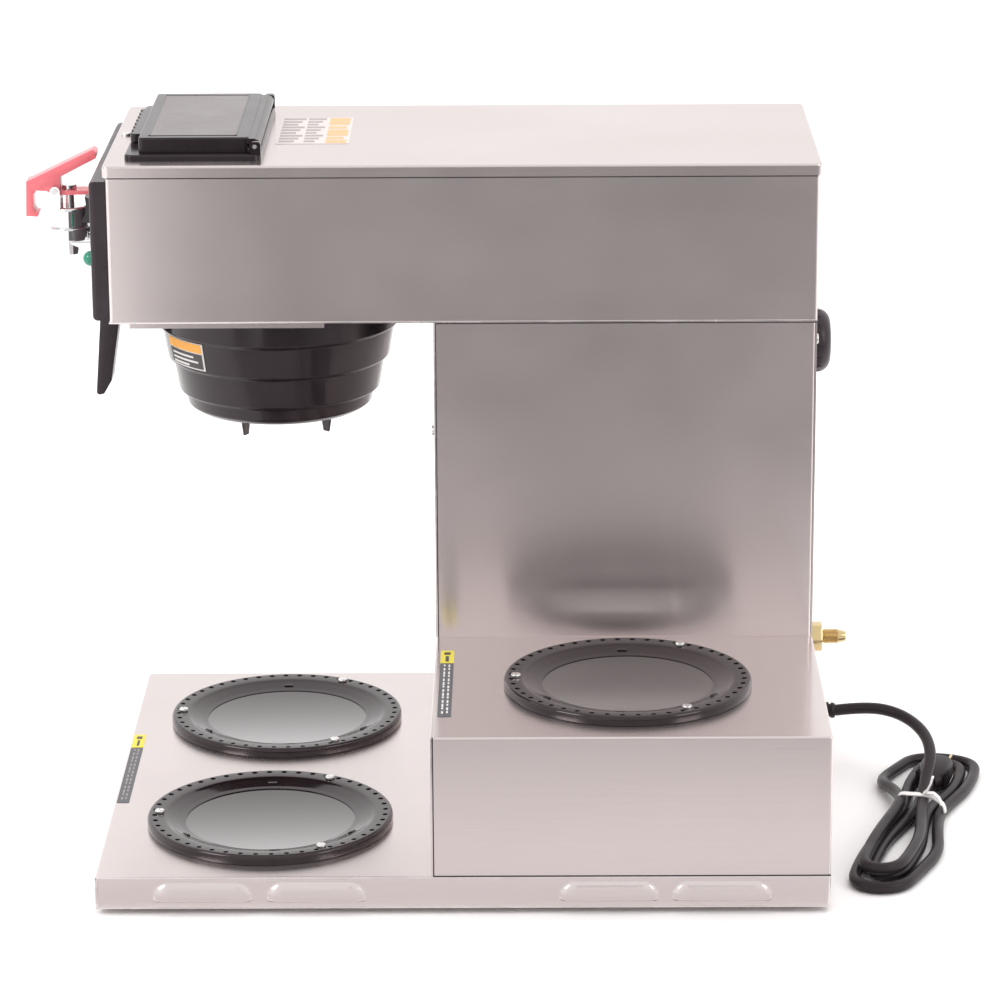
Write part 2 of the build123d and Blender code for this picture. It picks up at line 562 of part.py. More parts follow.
def make_switches():
    frames = []
    for name, (x, z) in SWITCH_SPOTS.items():
        keep(name, rocker(x, z))
        half_w = SWITCH_W / 2
        half_h = SWITCH_H / 2
        flange = box(x - half_w - 2.6, x + half_w + 2.6, BEZEL_FACE_Y - 1.6, BEZEL_FACE_Y,
                     z - half_h - 2.6, z + half_h + 2.6)
        flange = fillet(flange.edges().filter_by(Axis.Y), 1.5)
        can = box(x - half_w - 1.4, x + half_w + 1.4, BEZEL_FACE_Y, FRONT_Y + 12.0,
                  z - half_h - 1.4, z + half_h + 1.4)
        pocket = box(x - half_w, x + half_w, BEZEL_FACE_Y - 4, BEZEL_FACE_Y + 7,
                     z - half_h, z + half_h)
        pin = rod_x(BEZEL_FACE_Y, z, x - half_w - 0.5, x + half_w + 0.5, 1.0)
        frames.append(flange + can - pocket + pin)
    keep("switch_frames", Compound(children=frames))

    dome = Pos(LAMP_X, BEZEL_FACE_Y - 3.0, LAMP_Z) * Sphere(5.2)
    dome -= box(LAMP_X - 9, LAMP_X + 9, BEZEL_FACE_Y - 3.0, BEZEL_FACE_Y + 9, LAMP_Z - 9, LAMP_Z + 9)
    neck = rod_y(LAMP_X, LAMP_Z, BEZEL_FACE_Y - 3.0, BEZEL_FACE_Y, 5.2)
    plug = rod_y(LAMP_X, LAMP_Z, BEZEL_FACE_Y, FRONT_Y + 6.0, 4.1)
    keep("ready_lamp", dome + neck + plug)


# ---- hot-water faucet ----
def make_faucet():
    x = TOWER_X
    shank = rod_y(x, SHANK_Z, FAUCET_Y, FRONT_Y + 22.0, 6.4)
    collar = rod_z(x, FAUCET_Y, 376.5, 385.5, 14.8)
    collar = fillet(collar.edges(), 1.2)
    nozzle = Pos(x, FAUCET_Y, 371.5) * Cone(4.6, 6.4, 12.0)
    body = shank + collar + nozzle
    body -= rod_z(x, FAUCET_Y, 364.0, 379.0, 3.2)
    body -= rod_z(x, FAUCET_Y, 379.0, 386.0, 9.6)
    body -= rod_y(x, SHANK_Z, FAUCET_Y + 6.0, FRONT_Y + 23.0, 3.2)
    keep("faucet_body", body)

    bonnet = rod_z(x, FAUCET_Y, 385.5, 399.5, 12.2)
    bonnet = fillet(bonnet.faces().sort_by(Axis.Z)[-1].edges(), 2.4)
    for side in (-1, 1):
        ear_x = x + side * (HANDLE_W / 2 + 2.0)
        ear = box(ear_x - 1.4, ear_x + 1.4, HANDLE_PIN_Y - 3.4, HANDLE_PIN_Y + 3.4, 387.0, HANDLE_PIN_Z)
        ear += rod_x(HANDLE_PIN_Y, HANDLE_PIN_Z, ear_x - 1.4, ear_x + 1.4, 3.4)
        foot = box(ear_x - 1.4, ear_x + 1.4, HANDLE_PIN_Y - 3.4, FAUCET_Y, 387.0, 392.0)
        bonnet += ear + foot
    bonnet -= rod_z(x, FAUCET_Y, 385.0, 397.0, 9.6)
    bonnet -= rod_z(x, FAUCET_Y, 396.0, 401.0, 3.06)
    bonnet -= rod_x(HANDLE_PIN_Y, HANDLE_PIN_Z, x - 20, x + 20, HANDLE_PIN_R)
    keep("faucet_bonnet", bonnet)

    nut = hex_y(x, SHANK_Z, BEZEL_FACE_Y - 8.0, BEZEL_FACE_Y, 19.0)
    keep("faucet_nut", nut - rod_y(x, SHANK_Z, BEZEL_FACE_Y - 12, FRONT_Y + 9, 6.4))

    stem = rod_z(x, FAUCET_Y, 383.0, 413.6, 3.0)
    stem += rod_z(x, FAUCET_Y, 379.2, 383.0, 7.0)
    stem += rod_z(x, FAUCET_Y, 411.3, 414.0, 5.0)
    keep("faucet_stem", stem)
    spring = rod_z(x, FAUCET_Y, 383.4, 396.6, 8.6) - rod_z(x, FAUCET_Y, 383.0, 397.5, 6.8)
    keep("faucet_spring", spring)
    keep("faucet_handle_pin",
         rod_x(HANDLE_PIN_Y, HANDLE_PIN_Z, x - HANDLE_W / 2 - 4.2, x + HANDLE_W / 2 + 4.2, HANDLE_PIN_R))

    hose = [(x, FRONT_Y + 22.0, SHANK_Z), (x, FRONT_Y + 44.0, SHANK_Z), (-132.0, FRONT_Y + 74.0, SHANK_Z),
            (-132.0, TANK_Y0, SHANK_Z)]
    keep("faucet_tube", pipe(hose, [16.0, 16.0], 6.0, 4.4))


def make_faucet_handle():
    side = [
        (-282.4, 393.4), (-281.6, 417.6), (-278.2, 418.8), (-235.6, 439.4), (-233.2, 437.4),
        (-233.6, 433.4), (-258.4, 420.6), (-258.4, 411.0), (-232.8, 410.9), (-232.8, 408.4),
        (-263.0, 407.9), (-268.0, 410.8), (-274.8, 411.2), (-277.2, 408.4), (-277.4, 399.0),
        (-276.2, 396.4), (-273.6, 395.4), (-274.4, 393.0),
    ]
    half = HANDLE_W / 2
    handle = yz_prism(side, TOWER_X - half, TOWER_X + half)
    handle -= rod_x(HANDLE_PIN_Y, HANDLE_PIN_Z, TOWER_X - 20, TOWER_X + 20, HANDLE_PIN_R + 0.05)
    handle -= box(TOWER_X - 3.7, TOWER_X + 3.7, FAUCET_Y - 3.9, FAUCET_Y + 4.2, 405.0, 412.0)
    keep("faucet_handle", handle)


# ---- power cord ----
def lobe(*discs):
    """The outline round a row of discs, each (along, across, radius) from the tie."""
    rings = Sketch() + [Pos(u, v) * Circle(r) for u, v, r in discs]
    return make_hull(rings.edges())


def make_cord():
    route = [Vector(*p) for p in LEAD_ROUTE]
    radii = bend_radii(LEAD_ROUTE)
    print("lead bend radii", [round(r, 1) for r in radii])
    path = FilletPolyline(*route, radius=radii)
    lead = sweep(Plane(origin=path @ 0, z_dir=path % 0) * Circle(CORD_D / 2), path)
    print("lead volume over section times length", lead.volume / (math.pi * CORD_D**2 / 4 * path.length))
    print("lead length", path.length)
    keep("power_cord", lead)

    relief = Pos(CORD_EXIT_X, REAR_Y + RELIEF_LENGTH / 2, CORD_EXIT_Z) * Rot(-90, 0, 0)
    cone = relief * Cone(8.0, 5.2, RELIEF_LENGTH)
    shank = rod_y(CORD_EXIT_X, CORD_EXIT_Z, REAR_Y - 10, REAR_Y, 6.9)
    keep("strain_relief", cone + shank)

    lower = lobe((127, -4, 19.5), (66, 3, 27), (8, 0, 16))
    upper = lobe((-56, -12, 32), (-58, -4, 28), (-84, -7, 31.5), (-8, 0, 17))
    blank = extrude(lower + upper, HANK_H)
    waist = Box(24, 200, 100) - Box(25, 2 * HANK_WAIST_HALF, 101)
    pocket = Pos(PLUG_U - 7.5, PLUG_V, HANK_H / 2) * Box(PLUG_LENGTH + 19, PLUG_W + 2, HANK_H + 2)
    ring_bore = Box(TIE_WIDTH, 2 * (HANK_WAIST_HALF - TIE_THICKNESS), HANK_H - 2 * TIE_THICKNESS)
    groove = Box(TIE_WIDTH, 60, HANK_H + 2) - ring_bore
    hank = blank - pocket - Pos(0, 0, HANK_H / 2) * (waist + groove)
    place = Pos(TIE_X, TIE_Y, 0) * Rot(0, 0, HANK_HEADING)
    keep("cord_hank", place * hank)

    tie = Pos(0, 0, HANK_H / 2) * (Box(TIE_WIDTH, 2 * HANK_WAIST_HALF, HANK_H) - ring_bore)
    tail = Box(TIE_WIDTH, 1.2, 14.0)
    tie += Pos(0, HANK_WAIST_HALF - 9.0, HANK_H + 6.0) * tail
    keep("cord_tie", place * tie)

    body = Box(PLUG_LENGTH, PLUG_W, PLUG_H)
    body = fillet(body.edges().filter_by(Axis.X), 6.0)
    blade = Box(16.0, 1.5, 6.3)
    blades = Pos(-PLUG_LENGTH / 2 - 8.0, 6.35, 2.0) * blade
    blades += Pos(-PLUG_LENGTH / 2 - 8.0, -6.35, 2.0) * blade
    blades += Pos(-PLUG_LENGTH / 2 - 8.0, 0, -5.5) * Rot(0, 90, 0) * Cylinder(2.4, 16.0)
    plug = Pos(PLUG_U, PLUG_V, PLUG_H / 2 + 0.5) * (body + blades)
    keep("power_plug", place * plug)


make_base()
make_step()
make_tower()
make_head()
make_bezel()
make_fasteners()
make_warmers()
make_funnel()
make_rails()
make_sprayhead()
make_basin()
make_lid()
make_tank()
make_inlet()
make_controls()
make_dial()
make_switches()
make_faucet()
make_faucet_handle()
make_cord()

os.makedirs("parts", exist_ok=True)
for node, shape in PARTS.items():
    export_step(shape, f"parts/{node}.step")
print(len(PARTS), "nodes")
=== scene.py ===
import bpy
import bmesh
import json
import math
from mathutils import Matrix, Vector


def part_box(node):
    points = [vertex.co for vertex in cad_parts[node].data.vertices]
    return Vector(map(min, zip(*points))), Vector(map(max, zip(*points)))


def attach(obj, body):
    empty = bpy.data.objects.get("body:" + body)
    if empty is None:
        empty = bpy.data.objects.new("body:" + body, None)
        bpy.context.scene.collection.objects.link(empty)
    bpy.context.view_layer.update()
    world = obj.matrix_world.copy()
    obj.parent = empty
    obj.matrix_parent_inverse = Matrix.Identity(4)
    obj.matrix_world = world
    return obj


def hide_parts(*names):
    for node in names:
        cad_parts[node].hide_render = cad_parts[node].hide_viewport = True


# The looks of the commercial coffee brewer: its sheet steel, plastics, warmers and tied power cord.
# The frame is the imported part's: -Y is the front, +X the brewer's right, z = 0 the counter. Blender works in
# metres; lists of places are in millimetres and are scaled by MM as they are used.

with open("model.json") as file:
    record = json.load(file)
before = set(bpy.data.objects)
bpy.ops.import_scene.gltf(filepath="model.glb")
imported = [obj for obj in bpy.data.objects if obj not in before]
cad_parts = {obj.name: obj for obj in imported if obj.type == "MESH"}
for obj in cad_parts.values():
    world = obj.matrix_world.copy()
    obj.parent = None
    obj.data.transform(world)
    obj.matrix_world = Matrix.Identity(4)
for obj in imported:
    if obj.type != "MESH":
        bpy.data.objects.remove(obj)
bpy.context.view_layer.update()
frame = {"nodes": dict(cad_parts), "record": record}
NODES = frame["nodes"]
SLOT_OF = {part["node"]: part["material_slot"] for part in frame["record"]["subparts"]}

MM = 0.001

# The brewer's main planes, in millimetres, as in the part.
SIDE_X = 203.2
FRONT_Y = -218.3
TRUNK_Y = -2.3
REAR_Y = 253.9
FOOT_H = 4.0
DECK_Z = 25.3
STEP_Z = 119.8
HEAD_Z = 340.4
LIP_Z = 439.9
SIDE_WARMER_X = SIDE_X / 2
FRONT_WARMER_Y = -111.3
REAR_WARMER_Y = 125.7

STEEL = (0.80, 0.728, 0.718)


# ---------------------------------------------------------------- camera, floor and light
CAMERA_AT = Vector((2.68221, 0.06103, 1.01008))
CAMERA_LENS = 149.2
CAMERA_YAW = math.radians(-0.412)
CAMERA_PITCH = math.radians(16.469)
CAMERA_ROLL = math.radians(-0.333)
SENSOR_WIDTH = 36.0


def make_camera():
    """The camera stands off the brewer's right side and looks slightly down on it."""
    flat = math.cos(CAMERA_PITCH)
    ahead = Vector((-flat * math.cos(CAMERA_YAW), flat * math.sin(CAMERA_YAW), -math.sin(CAMERA_PITCH)))
    level = ahead.cross(Vector((0, 0, 1))).normalized()
    upright = level.cross(ahead)
    right = math.cos(CAMERA_ROLL) * level + math.sin(CAMERA_ROLL) * upright
    top = -math.sin(CAMERA_ROLL) * level + math.cos(CAMERA_ROLL) * upright
    data = bpy.data.cameras.new("camera")
    data.lens = CAMERA_LENS
    data.sensor_width = SENSOR_WIDTH
    data.clip_end = 60.0
    camera = bpy.data.objects.new("camera", data)
    turn = Matrix((right, top, -ahead)).transposed().to_4x4()
    camera.matrix_world = Matrix.Translation(CAMERA_AT) @ turn
    bpy.context.scene.collection.objects.link(camera)
    bpy.context.scene.camera = camera


def area_light(name, at, aim, size, power, colour=(1.0, 0.985, 0.975)):
    data = bpy.data.lights.new(name, "AREA")
    data.shape = "RECTANGLE"
    data.size, data.size_y = size
    data.energy = power
    data.color = colour
    light = bpy.data.objects.new(name, data)
    light.location = at
    light.rotation_euler = (Vector(aim) - Vector(at)).to_track_quat("-Z", "Y").to_euler()
    light.visible_camera = False
    bpy.context.scene.collection.objects.link(light)
    return light


def plane_object(name, corners):
    mesh = bpy.data.meshes.new(name)
    mesh.from_pydata(corners, [], [tuple(range(len(corners)))])
    piece = bpy.data.objects.new(name, mesh)
    bpy.context.scene.collection.objects.link(piece)
    return piece


SKY_WHITE = (1.0, 0.985, 0.98, 1)
SKY_NEAR = 0.92
SKY_BEHIND = 1.12


def make_world():
    """A studio that is white behind the brewer and a little dimmer on the side it is seen from."""
    world = bpy.data.worlds.new("studio")
    bpy.context.scene.world = world
    world.use_nodes = True
    tree = world.node_tree
    background = tree.nodes["Background"]
    place = tree.nodes.new("ShaderNodeTexCoord")
    split = tree.nodes.new("ShaderNodeSeparateXYZ")
    ramp = tree.nodes.new("ShaderNodeMapRange")
    ramp.interpolation_type = "SMOOTHSTEP"
    ramp.inputs["From Min"].default_value = 0.25
    ramp.inputs["From Max"].default_value = -0.75
    ramp.inputs["To Min"].default_value = SKY_NEAR
    ramp.inputs["To Max"].default_value = SKY_BEHIND
    tree.links.new(place.outputs["Generated"], split.inputs[0])
    tree.links.new(split.outputs["X"], ramp.inputs["Value"])
    tree.links.new(ramp.outputs["Result"], background.inputs["Strength"])
    background.inputs["Color"].default_value = SKY_WHITE


CARD_HEIGHT = 0.001
CARD_NEAR, CARD_BEND, CARD_FAR = 0.212, 0.64, 8.8
CARD_LEFT = -0.62
CARD_RIGHT = 4.0
DARK_CARD_X = 3.0


def glossy_only(board):
    """Hides a studio board from everything but mirror-like reflections."""
    for flag in ("visible_camera", "visible_diffuse", "visible_shadow", "visible_transmission"):
        setattr(board, flag, False)


def make_floor():
    floor = plane_object("floor", [(-14, -12, 0), (9, -12, 0), (9, 12, 0), (-14, 12, 0)])
    paper = bpy.data.materials.new("white_paper")
    paper.use_nodes = True
    shader = paper.node_tree.nodes["Principled BSDF"]
    shader.inputs["Base Color"].default_value = (0.93, 0.925, 0.925, 1)
    shader.inputs["Roughness"].default_value = 0.9
    shader.inputs["Specular IOR Level"].default_value = 0.1
    floor.data.materials.append(paper)


def make_dim_card():
    """A card on the floor that grows dimmer with distance, as the brewer's upright faces mirror it."""
    card = plane_object("dim_card", [
        (CARD_NEAR, CARD_LEFT, CARD_HEIGHT), (CARD_BEND - 0.01, CARD_LEFT, CARD_HEIGHT),
        (CARD_BEND, -0.27, CARD_HEIGHT), (CARD_FAR, -1.04, CARD_HEIGHT),
        (CARD_FAR, CARD_RIGHT, CARD_HEIGHT), (CARD_NEAR, CARD_RIGHT, CARD_HEIGHT)])
    dim = bpy.data.materials.new("dim_card")
    dim.use_nodes = True
    tree = dim.node_tree
    tree.nodes.remove(tree.nodes["Principled BSDF"])
    glow = tree.nodes.new("ShaderNodeEmission")
    place = tree.nodes.new("ShaderNodeTexCoord")
    split = tree.nodes.new("ShaderNodeSeparateXYZ")
    fall = tree.nodes.new("ShaderNodeValToRGB")
    steps = fall.color_ramp.elements
    steps[0].position, steps[0].color = 0.24, (0.76, 0.76, 0.76, 1)
    steps[1].position, steps[1].color = 1.0, (0.18, 0.18, 0.18, 1)
    for distance, grey in ((0.30, 0.92), (0.50, 0.80), (0.64, 0.37)):
        steps.new(distance).color = (grey, grey, grey, 1)
    tree.links.new(place.outputs["Object"], split.inputs[0])
    tree.links.new(split.outputs["X"], fall.inputs["Fac"])
    tree.links.new(fall.outputs["Color"], glow.inputs["Strength"])
    glow.inputs["Color"].default_value = (1.0, 0.95, 0.955, 1)
    tree.links.new(glow.outputs[0], tree.nodes["Material Output"].inputs["Surface"])
    card.data.materials.append(dim)
    glossy_only(card)


def make_dark_card():
    """A dark board off the brewer's right side, for the raised warmer's plate to mirror."""
    stand = plane_object("dark_card", [(DARK_CARD_X, 0.0, 0.98), (DARK_CARD_X, 0.38, 0.98),
                                       (DARK_CARD_X, 0.38, 1.32), (DARK_CARD_X, 0.0, 1.32)])
    dark = bpy.data.materials.new("dark_card")
    dark.use_nodes = True
    shader = dark.node_tree.nodes["Principled BSDF"]
    shader.inputs["Base Color"].default_value = (0.03, 0.025, 0.027, 1)
    stand.data.materials.append(dark)
    glossy_only(stand)


def make_studio():
    bpy.context.scene.view_settings.view_transform = "Standard"
    make_floor()
    make_dim_card()
    make_dark_card()
    overhead = area_light("overhead", (-0.9, 0.0, 2.6), (-0.5, 0.0, 0.0), (5.0, 3.2), 64.0)
    overhead.visible_glossy = False
    area_light("near_left", (1.1, -1.7, 1.5), (0.0, 0.0, 0.2), (0.9, 0.9), 14.0)
    area_light("near_right", (1.2, 1.9, 1.3), (0.0, 0.0, 0.2), (0.9, 0.9), 8.0)


# ---------------------------------------------------------------- materials
def new_surface(name):
    material = bpy.data.materials.new(name)
    material.use_nodes = True
    tree = material.node_tree
    return material, tree, tree.nodes["Principled BSDF"]


def noise_at(tree, stretch, scale, detail=4.0):
    """Noise in the object's own space, stretched along the axes."""
    place = tree.nodes.new("ShaderNodeTexCoord")
    mapping = tree.nodes.new("ShaderNodeMapping")
    mapping.inputs["Scale"].default_value = stretch
    noise = tree.nodes.new("ShaderNodeTexNoise")
    noise.inputs["Scale"].default_value = scale
    noise.inputs["Detail"].default_value = detail
    tree.links.new(place.outputs["Object"], mapping.inputs["Vector"])
    tree.links.new(mapping.outputs[0], noise.inputs["Vector"])
    return noise


def vary(tree, source, socket, low, high, from_low=0.3, from_high=0.7):
    spread = tree.nodes.new("ShaderNodeMapRange")
    spread.inputs["From Min"].default_value = from_low
    spread.inputs["From Max"].default_value = from_high
    spread.inputs["To Min"].default_value = low
    spread.inputs["To Max"].default_value = high
    tree.links.new(source.outputs[0], spread.inputs["Value"])
    tree.links.new(spread.outputs["Result"], socket)


def tint(tree, source, shader, dark, light, from_low=0.3, from_high=0.7):
    mix = tree.nodes.new("ShaderNodeMix")
    mix.data_type = "RGBA"
    mix.inputs["A"].default_value = (*dark, 1)
    mix.inputs["B"].default_value = (*light, 1)
    vary(tree, source, mix.inputs["Factor"], 0.0, 1.0, from_low, from_high)
    tree.links.new(mix.outputs["Result"], shader.inputs["Base Color"])


def emboss(tree, source, shader, height, strength=1.0):
    bump = tree.nodes.new("ShaderNodeBump")
    bump.inputs["Distance"].default_value = height
    bump.inputs["Strength"].default_value = strength
    tree.links.new(source.outputs[0], bump.inputs["Height"])
    tree.links.new(bump.outputs[0], shader.inputs["Normal"])


def shade_of(colour, factor):
    return tuple(min(1.0, c * factor) for c in colour)


def brushed_steel(name, colour=STEEL, rough=0.22, anisotropy=0.85, grain=(1400, 26, 1400)):
    """Sheet steel brushed along the machine's depth, so that reflections smear across the grain."""
    material, tree, shader = new_surface(name)
    shader.inputs["Metallic"].default_value = 1.0
    shader.inputs["Anisotropic"].default_value = anisotropy
    scratches = noise_at(tree, grain, 1.0, 3.0)
    handled = noise_at(tree, (9, 7, 9), 1.0, 5.0)
    tint(tree, scratches, shader, shade_of(colour, 0.98), shade_of(colour, 1.01))
    vary(tree, handled, shader.inputs["Roughness"], rough - 0.02, rough + 0.035)
    emboss(tree, scratches, shader, 0.000004, 0.3)
    facing = tree.nodes.new("ShaderNodeNewGeometry")
    across = tree.nodes.new("ShaderNodeVectorMath")
    across.operation = "CROSS_PRODUCT"
    across.inputs[1].default_value = (0.0, 1.0, 0.12)
    tree.links.new(facing.outputs["True Normal"], across.inputs[0])
    tree.links.new(across.outputs[0], shader.inputs["Tangent"])
    return material


def bright_metal(name, colour, rough, grain=900.0):
    material, tree, shader = new_surface(name)
    shader.inputs["Metallic"].default_value = 1.0
    marks = noise_at(tree, (1, 1, 1), grain, 4.0)
    haze = noise_at(tree, (1, 1, 1), 60.0, 4.0)
    tint(tree, haze, shader, shade_of(colour, 0.9), colour)
    vary(tree, haze, shader.inputs["Roughness"], rough * 0.7, rough * 1.5)
    emboss(tree, marks, shader, 0.00001, 0.35)
    return material


def plastic(name, colour, rough, grain, relief, coat=0.0, scuff=1.25, gloss=0.5):
    """Moulded plastic, rubber or enamel: a fine grain, uneven gloss and faintly lighter handled patches."""
    material, tree, shader = new_surface(name)
    fine = noise_at(tree, (1, 1, 1), grain, 3.0)
    broad = noise_at(tree, (1, 1, 1), 38.0, 6.0)
    tint(tree, broad, shader, colour, shade_of(colour, scuff), 0.42, 0.72)
    vary(tree, broad, shader.inputs["Roughness"], rough * 0.85, rough * 1.25)
    emboss(tree, fine, shader, relief, 0.7)
    shader.inputs["Specular IOR Level"].default_value = gloss
    shader.inputs["Specular Tint"].default_value = (1.0, 0.90, 0.93, 1)
    shader.inputs["Coat Weight"].default_value = coat
    shader.inputs["Coat Roughness"].default_value = 0.04
    return material


def lens(name, colour):
    material, tree, shader = new_surface(name)
    swirl = noise_at(tree, (1, 1, 1), 160.0, 3.0)
    tint(tree, swirl, shader, shade_of(colour, 0.8), colour)
    vary(tree, swirl, shader.inputs["Roughness"], 0.08, 0.16)
    emboss(tree, swirl, shader, 0.00002, 0.4)
    shader.inputs["Transmission Weight"].default_value = 0.35
    shader.inputs["Coat Weight"].default_value = 0.6
    return material


FINISHES = {
    "stainless": brushed_steel("stainless"),
    "black_rubber": plastic("black_rubber", (0.035, 0.033, 0.034), 0.62, 1500, 0.00004),
    "bezel_plastic": plastic("bezel_plastic", (0.030, 0.023, 0.027), 0.30, 2600, 0.000012, 0.05,
                             gloss=0.32),
    "black_gloss_plastic": plastic("black_gloss_plastic", (0.013, 0.009, 0.011), 0.17, 2200, 0.000004, 0.05,
                                   gloss=0.42),
    "black_enamel": plastic("black_enamel", (0.012, 0.007, 0.008), 0.09, 700, 0.000006, 0.25),
    "bright_steel": bright_metal("bright_steel", (0.86, 0.85, 0.84), 0.16),
    "chrome": bright_metal("chrome", (0.88, 0.88, 0.89), 0.07),
    "brass": bright_metal("brass", (0.80, 0.62, 0.33), 0.17),
    "copper_tube": bright_metal("copper_tube", (0.86, 0.50, 0.34), 0.24),
    "element_metal": bright_metal("element_metal", (0.42, 0.38, 0.35), 0.42, 500.0),
    "silicone": plastic("silicone", (0.72, 0.70, 0.66), 0.42, 1200, 0.00001),
    "control_plastic": plastic("control_plastic", (0.13, 0.125, 0.13), 0.42, 1800, 0.00001),
    "switch_plastic": plastic("switch_plastic", (0.020, 0.019, 0.020), 0.22, 2400, 0.000006, 0.3),
    "green_lens": lens("green_lens", (0.02, 0.42, 0.27)),
    "red_plastic": plastic("red_plastic", (0.86, 0.18, 0.21), 0.26, 2000, 0.000008, 0.35, scuff=1.12),
    "cord_jacket": plastic("cord_jacket", (0.012, 0.009, 0.011), 0.38, 1700, 0.00002, scuff=1.5,
                           gloss=0.38),
    "tie_white": plastic("tie_white", (0.82, 0.81, 0.80), 0.36, 900, 0.00002, 0.1, scuff=1.04),
}
PLATE_ENAMEL = plastic("plate_enamel", (0.014, 0.008, 0.009), 0.11, 700, 0.000006, 0.9)


def label_paper(name, colour, scuff=1.08, rough=0.42, coat=0.1):
    return plastic(name, colour, rough, 1600, 0.000004, coat, scuff)


PAPER_FRAME = label_paper("label_white", (0.74, 0.73, 0.71), 1.05, 0.45)
PAPER_YELLOW = label_paper("label_yellow", (0.80, 0.68, 0.05))
PAPER_AMBER = label_paper("label_amber", (0.88, 0.40, 0.05))
PAPER_ORANGE = label_paper("label_orange", (0.80, 0.38, 0.17))
PAPER_GREY = label_paper("label_grey", (0.30, 0.275, 0.27), 1.1)
PAPER_BLACK = label_paper("label_black", (0.045, 0.04, 0.04), 1.3)
PAPER_DARK = label_paper("label_slate", (0.085, 0.09, 0.10), 1.2)
PAPER_CLEAR = label_paper("label_clear", (0.58, 0.52, 0.50), 1.05, 0.34, 0.2)
# Near-black for the dark joints between the sheets, and for a painted shadow strip under the cover's lip.
SHADOW_GAP = plastic("dark_joint_and_lip_shadow", (0.030, 0.026, 0.027), 0.6, 900, 0.00001)
# A lighter pinkish grey than the lid's black plastic: a painted reflection of the bright studio on the lid's
# top.
LID_TOP_SHEEN = plastic("lid_top_painted_sheen", (0.075, 0.055, 0.060), 0.24, 2200, 0.000006, 0.2)
HEM_STEEL = bright_metal("hem_steel", (0.86, 0.80, 0.79), 0.22)


# ---------------------------------------------------------------- mesh helpers
def body_of_node(node):
    for body, members in frame["record"]["behaviour"]["bodies"].items():
        if node in members:
            return body
    return "housing"


def add_piece(name, bm, slot, body="housing", finish=None, smooth=40.0, replaced=()):
    """Turns a bmesh into a finished piece that rides on a body and may stand for CAD nodes."""
    bmesh.ops.recalc_face_normals(bm, faces=bm.faces)
    mesh = bpy.data.meshes.new(name)
    bm.to_mesh(mesh)
    bm.free()
    piece = bpy.data.objects.new(name, mesh)
    bpy.context.scene.collection.objects.link(piece)
    mesh.materials.append(finish or FINISHES[slot])
    mesh.polygons.foreach_set("use_smooth", [True] * len(mesh.polygons))
    mesh.set_sharp_from_angle(angle=math.radians(smooth))
    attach(piece, body)
    if replaced:
        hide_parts(*replaced)
    return piece


def add_box(bm, low, high, turn=None):
    """An upright block between two corners, in metres; returns its vertices."""
    centre = (Vector(low) + Vector(high)) / 2
    size = Vector(high) - Vector(low)
    matrix = Matrix.Translation(centre) @ (turn or Matrix.Identity(4)) @ Matrix.Diagonal((*size, 1))
    return bmesh.ops.create_cube(bm, size=1.0, matrix=matrix)["verts"]


def round_edges(bm, width, segments=2, angle=30.0):
    edges = [e for e in bm.edges if e.is_manifold and e.calc_face_angle(0) > math.radians(angle)]
    bmesh.ops.bevel(bm, geom=edges, offset=width, offset_type="OFFSET", segments=segments, profile=0.5,
                    affect="EDGES", clamp_overlap=True)


def merge(bm, other):
    """Adds another bmesh's faces and frees it."""
    scratch = bpy.data.meshes.new("scratch")
    other.to_mesh(scratch)
    other.free()
    bm.from_mesh(scratch)
    bpy.data.meshes.remove(scratch)


def skin(bm, rings, capped=True):
    """Joins rings of vertices into a tube, with flat ends if it is capped."""
    for this, following in zip(rings, rings[1:]):
        for i in range(len(this)):
            j = (i + 1) % len(this)
            bm.faces.new((this[i], following[i], following[j], this[j]))
    if capped:
        bm.faces.new(rings[0])
        bm.faces.new(rings[-1])


def lathe(bm, profile, at, axis="Z", steps=96, closed=True):
    """Spins (radius, height) points about an axis through a point, in metres."""
    rings = []
    turns = {"Z": Matrix.Identity(3), "Y": Matrix.Rotation(-math.pi / 2, 3, "X"),
             "X": Matrix.Rotation(math.pi / 2, 3, "Y")}
    for k in range(steps):
        angle = 2 * math.pi * k / steps
        ring = []
        for radius, height in profile:
            local = Vector((radius * math.cos(angle), radius * math.sin(angle), height))
            ring.append(bm.verts.new(Vector(at) + turns[axis] @ local))
        rings.append(ring)
    count = len(profile)
    spans = count if closed else count - 1
    for k in range(steps):
        this, following = rings[k], rings[(k + 1) % steps]
        for i in range(spans):
            j = (i + 1) % count
            bm.faces.new((this[i], following[i], following[j], this[j]))
    bmesh.ops.remove_doubles(bm, verts=bm.verts, dist=1e-6)
    degenerate = [f for f in bm.faces if f.calc_area() < 1e-14]
    bmesh.ops.delete(bm, geom=degenerate, context="FACES_ONLY")


def rounded(points, radius, steps=3):
    """Replaces each corner of a closed (radius, height) outline with a short arc."""
    result = []
    count = len(points)
    for i in range(count):
        before, corner, after = (Vector(points[(i + d) % count]) for d in (-1, 0, 1))
        to_before = before - corner
        to_after = after - corner
        reach = min(radius, 0.4 * to_before.length, 0.4 * to_after.length)
        start = corner + to_before.normalized() * reach
        end = corner + to_after.normalized() * reach
        for k in range(steps + 1):
            t = k / steps
            result.append(tuple((1 - t) ** 2 * start + 2 * t * (1 - t) * corner + t * t * end))
    return result


def copy_node(node):
    """A new bmesh with the CAD node's shape, its flat faces whole again."""
    bm = bmesh.new()
    bm.from_mesh(NODES[node].data)
    bmesh.ops.remove_doubles(bm, verts=bm.verts, dist=1e-6)
    bmesh.ops.dissolve_limit(bm, angle_limit=math.radians(1.0), verts=bm.verts, edges=bm.edges)
    return bm


def soften_node(node, width, segments=3):
    """The CAD node again, with its sharp edges rounded."""
    bm = copy_node(node)
    round_edges(bm, width, segments, 40.0)
    add_piece(f"{node}_finished", bm, SLOT_OF[node], body_of_node(node), None, 35.0, (node,))


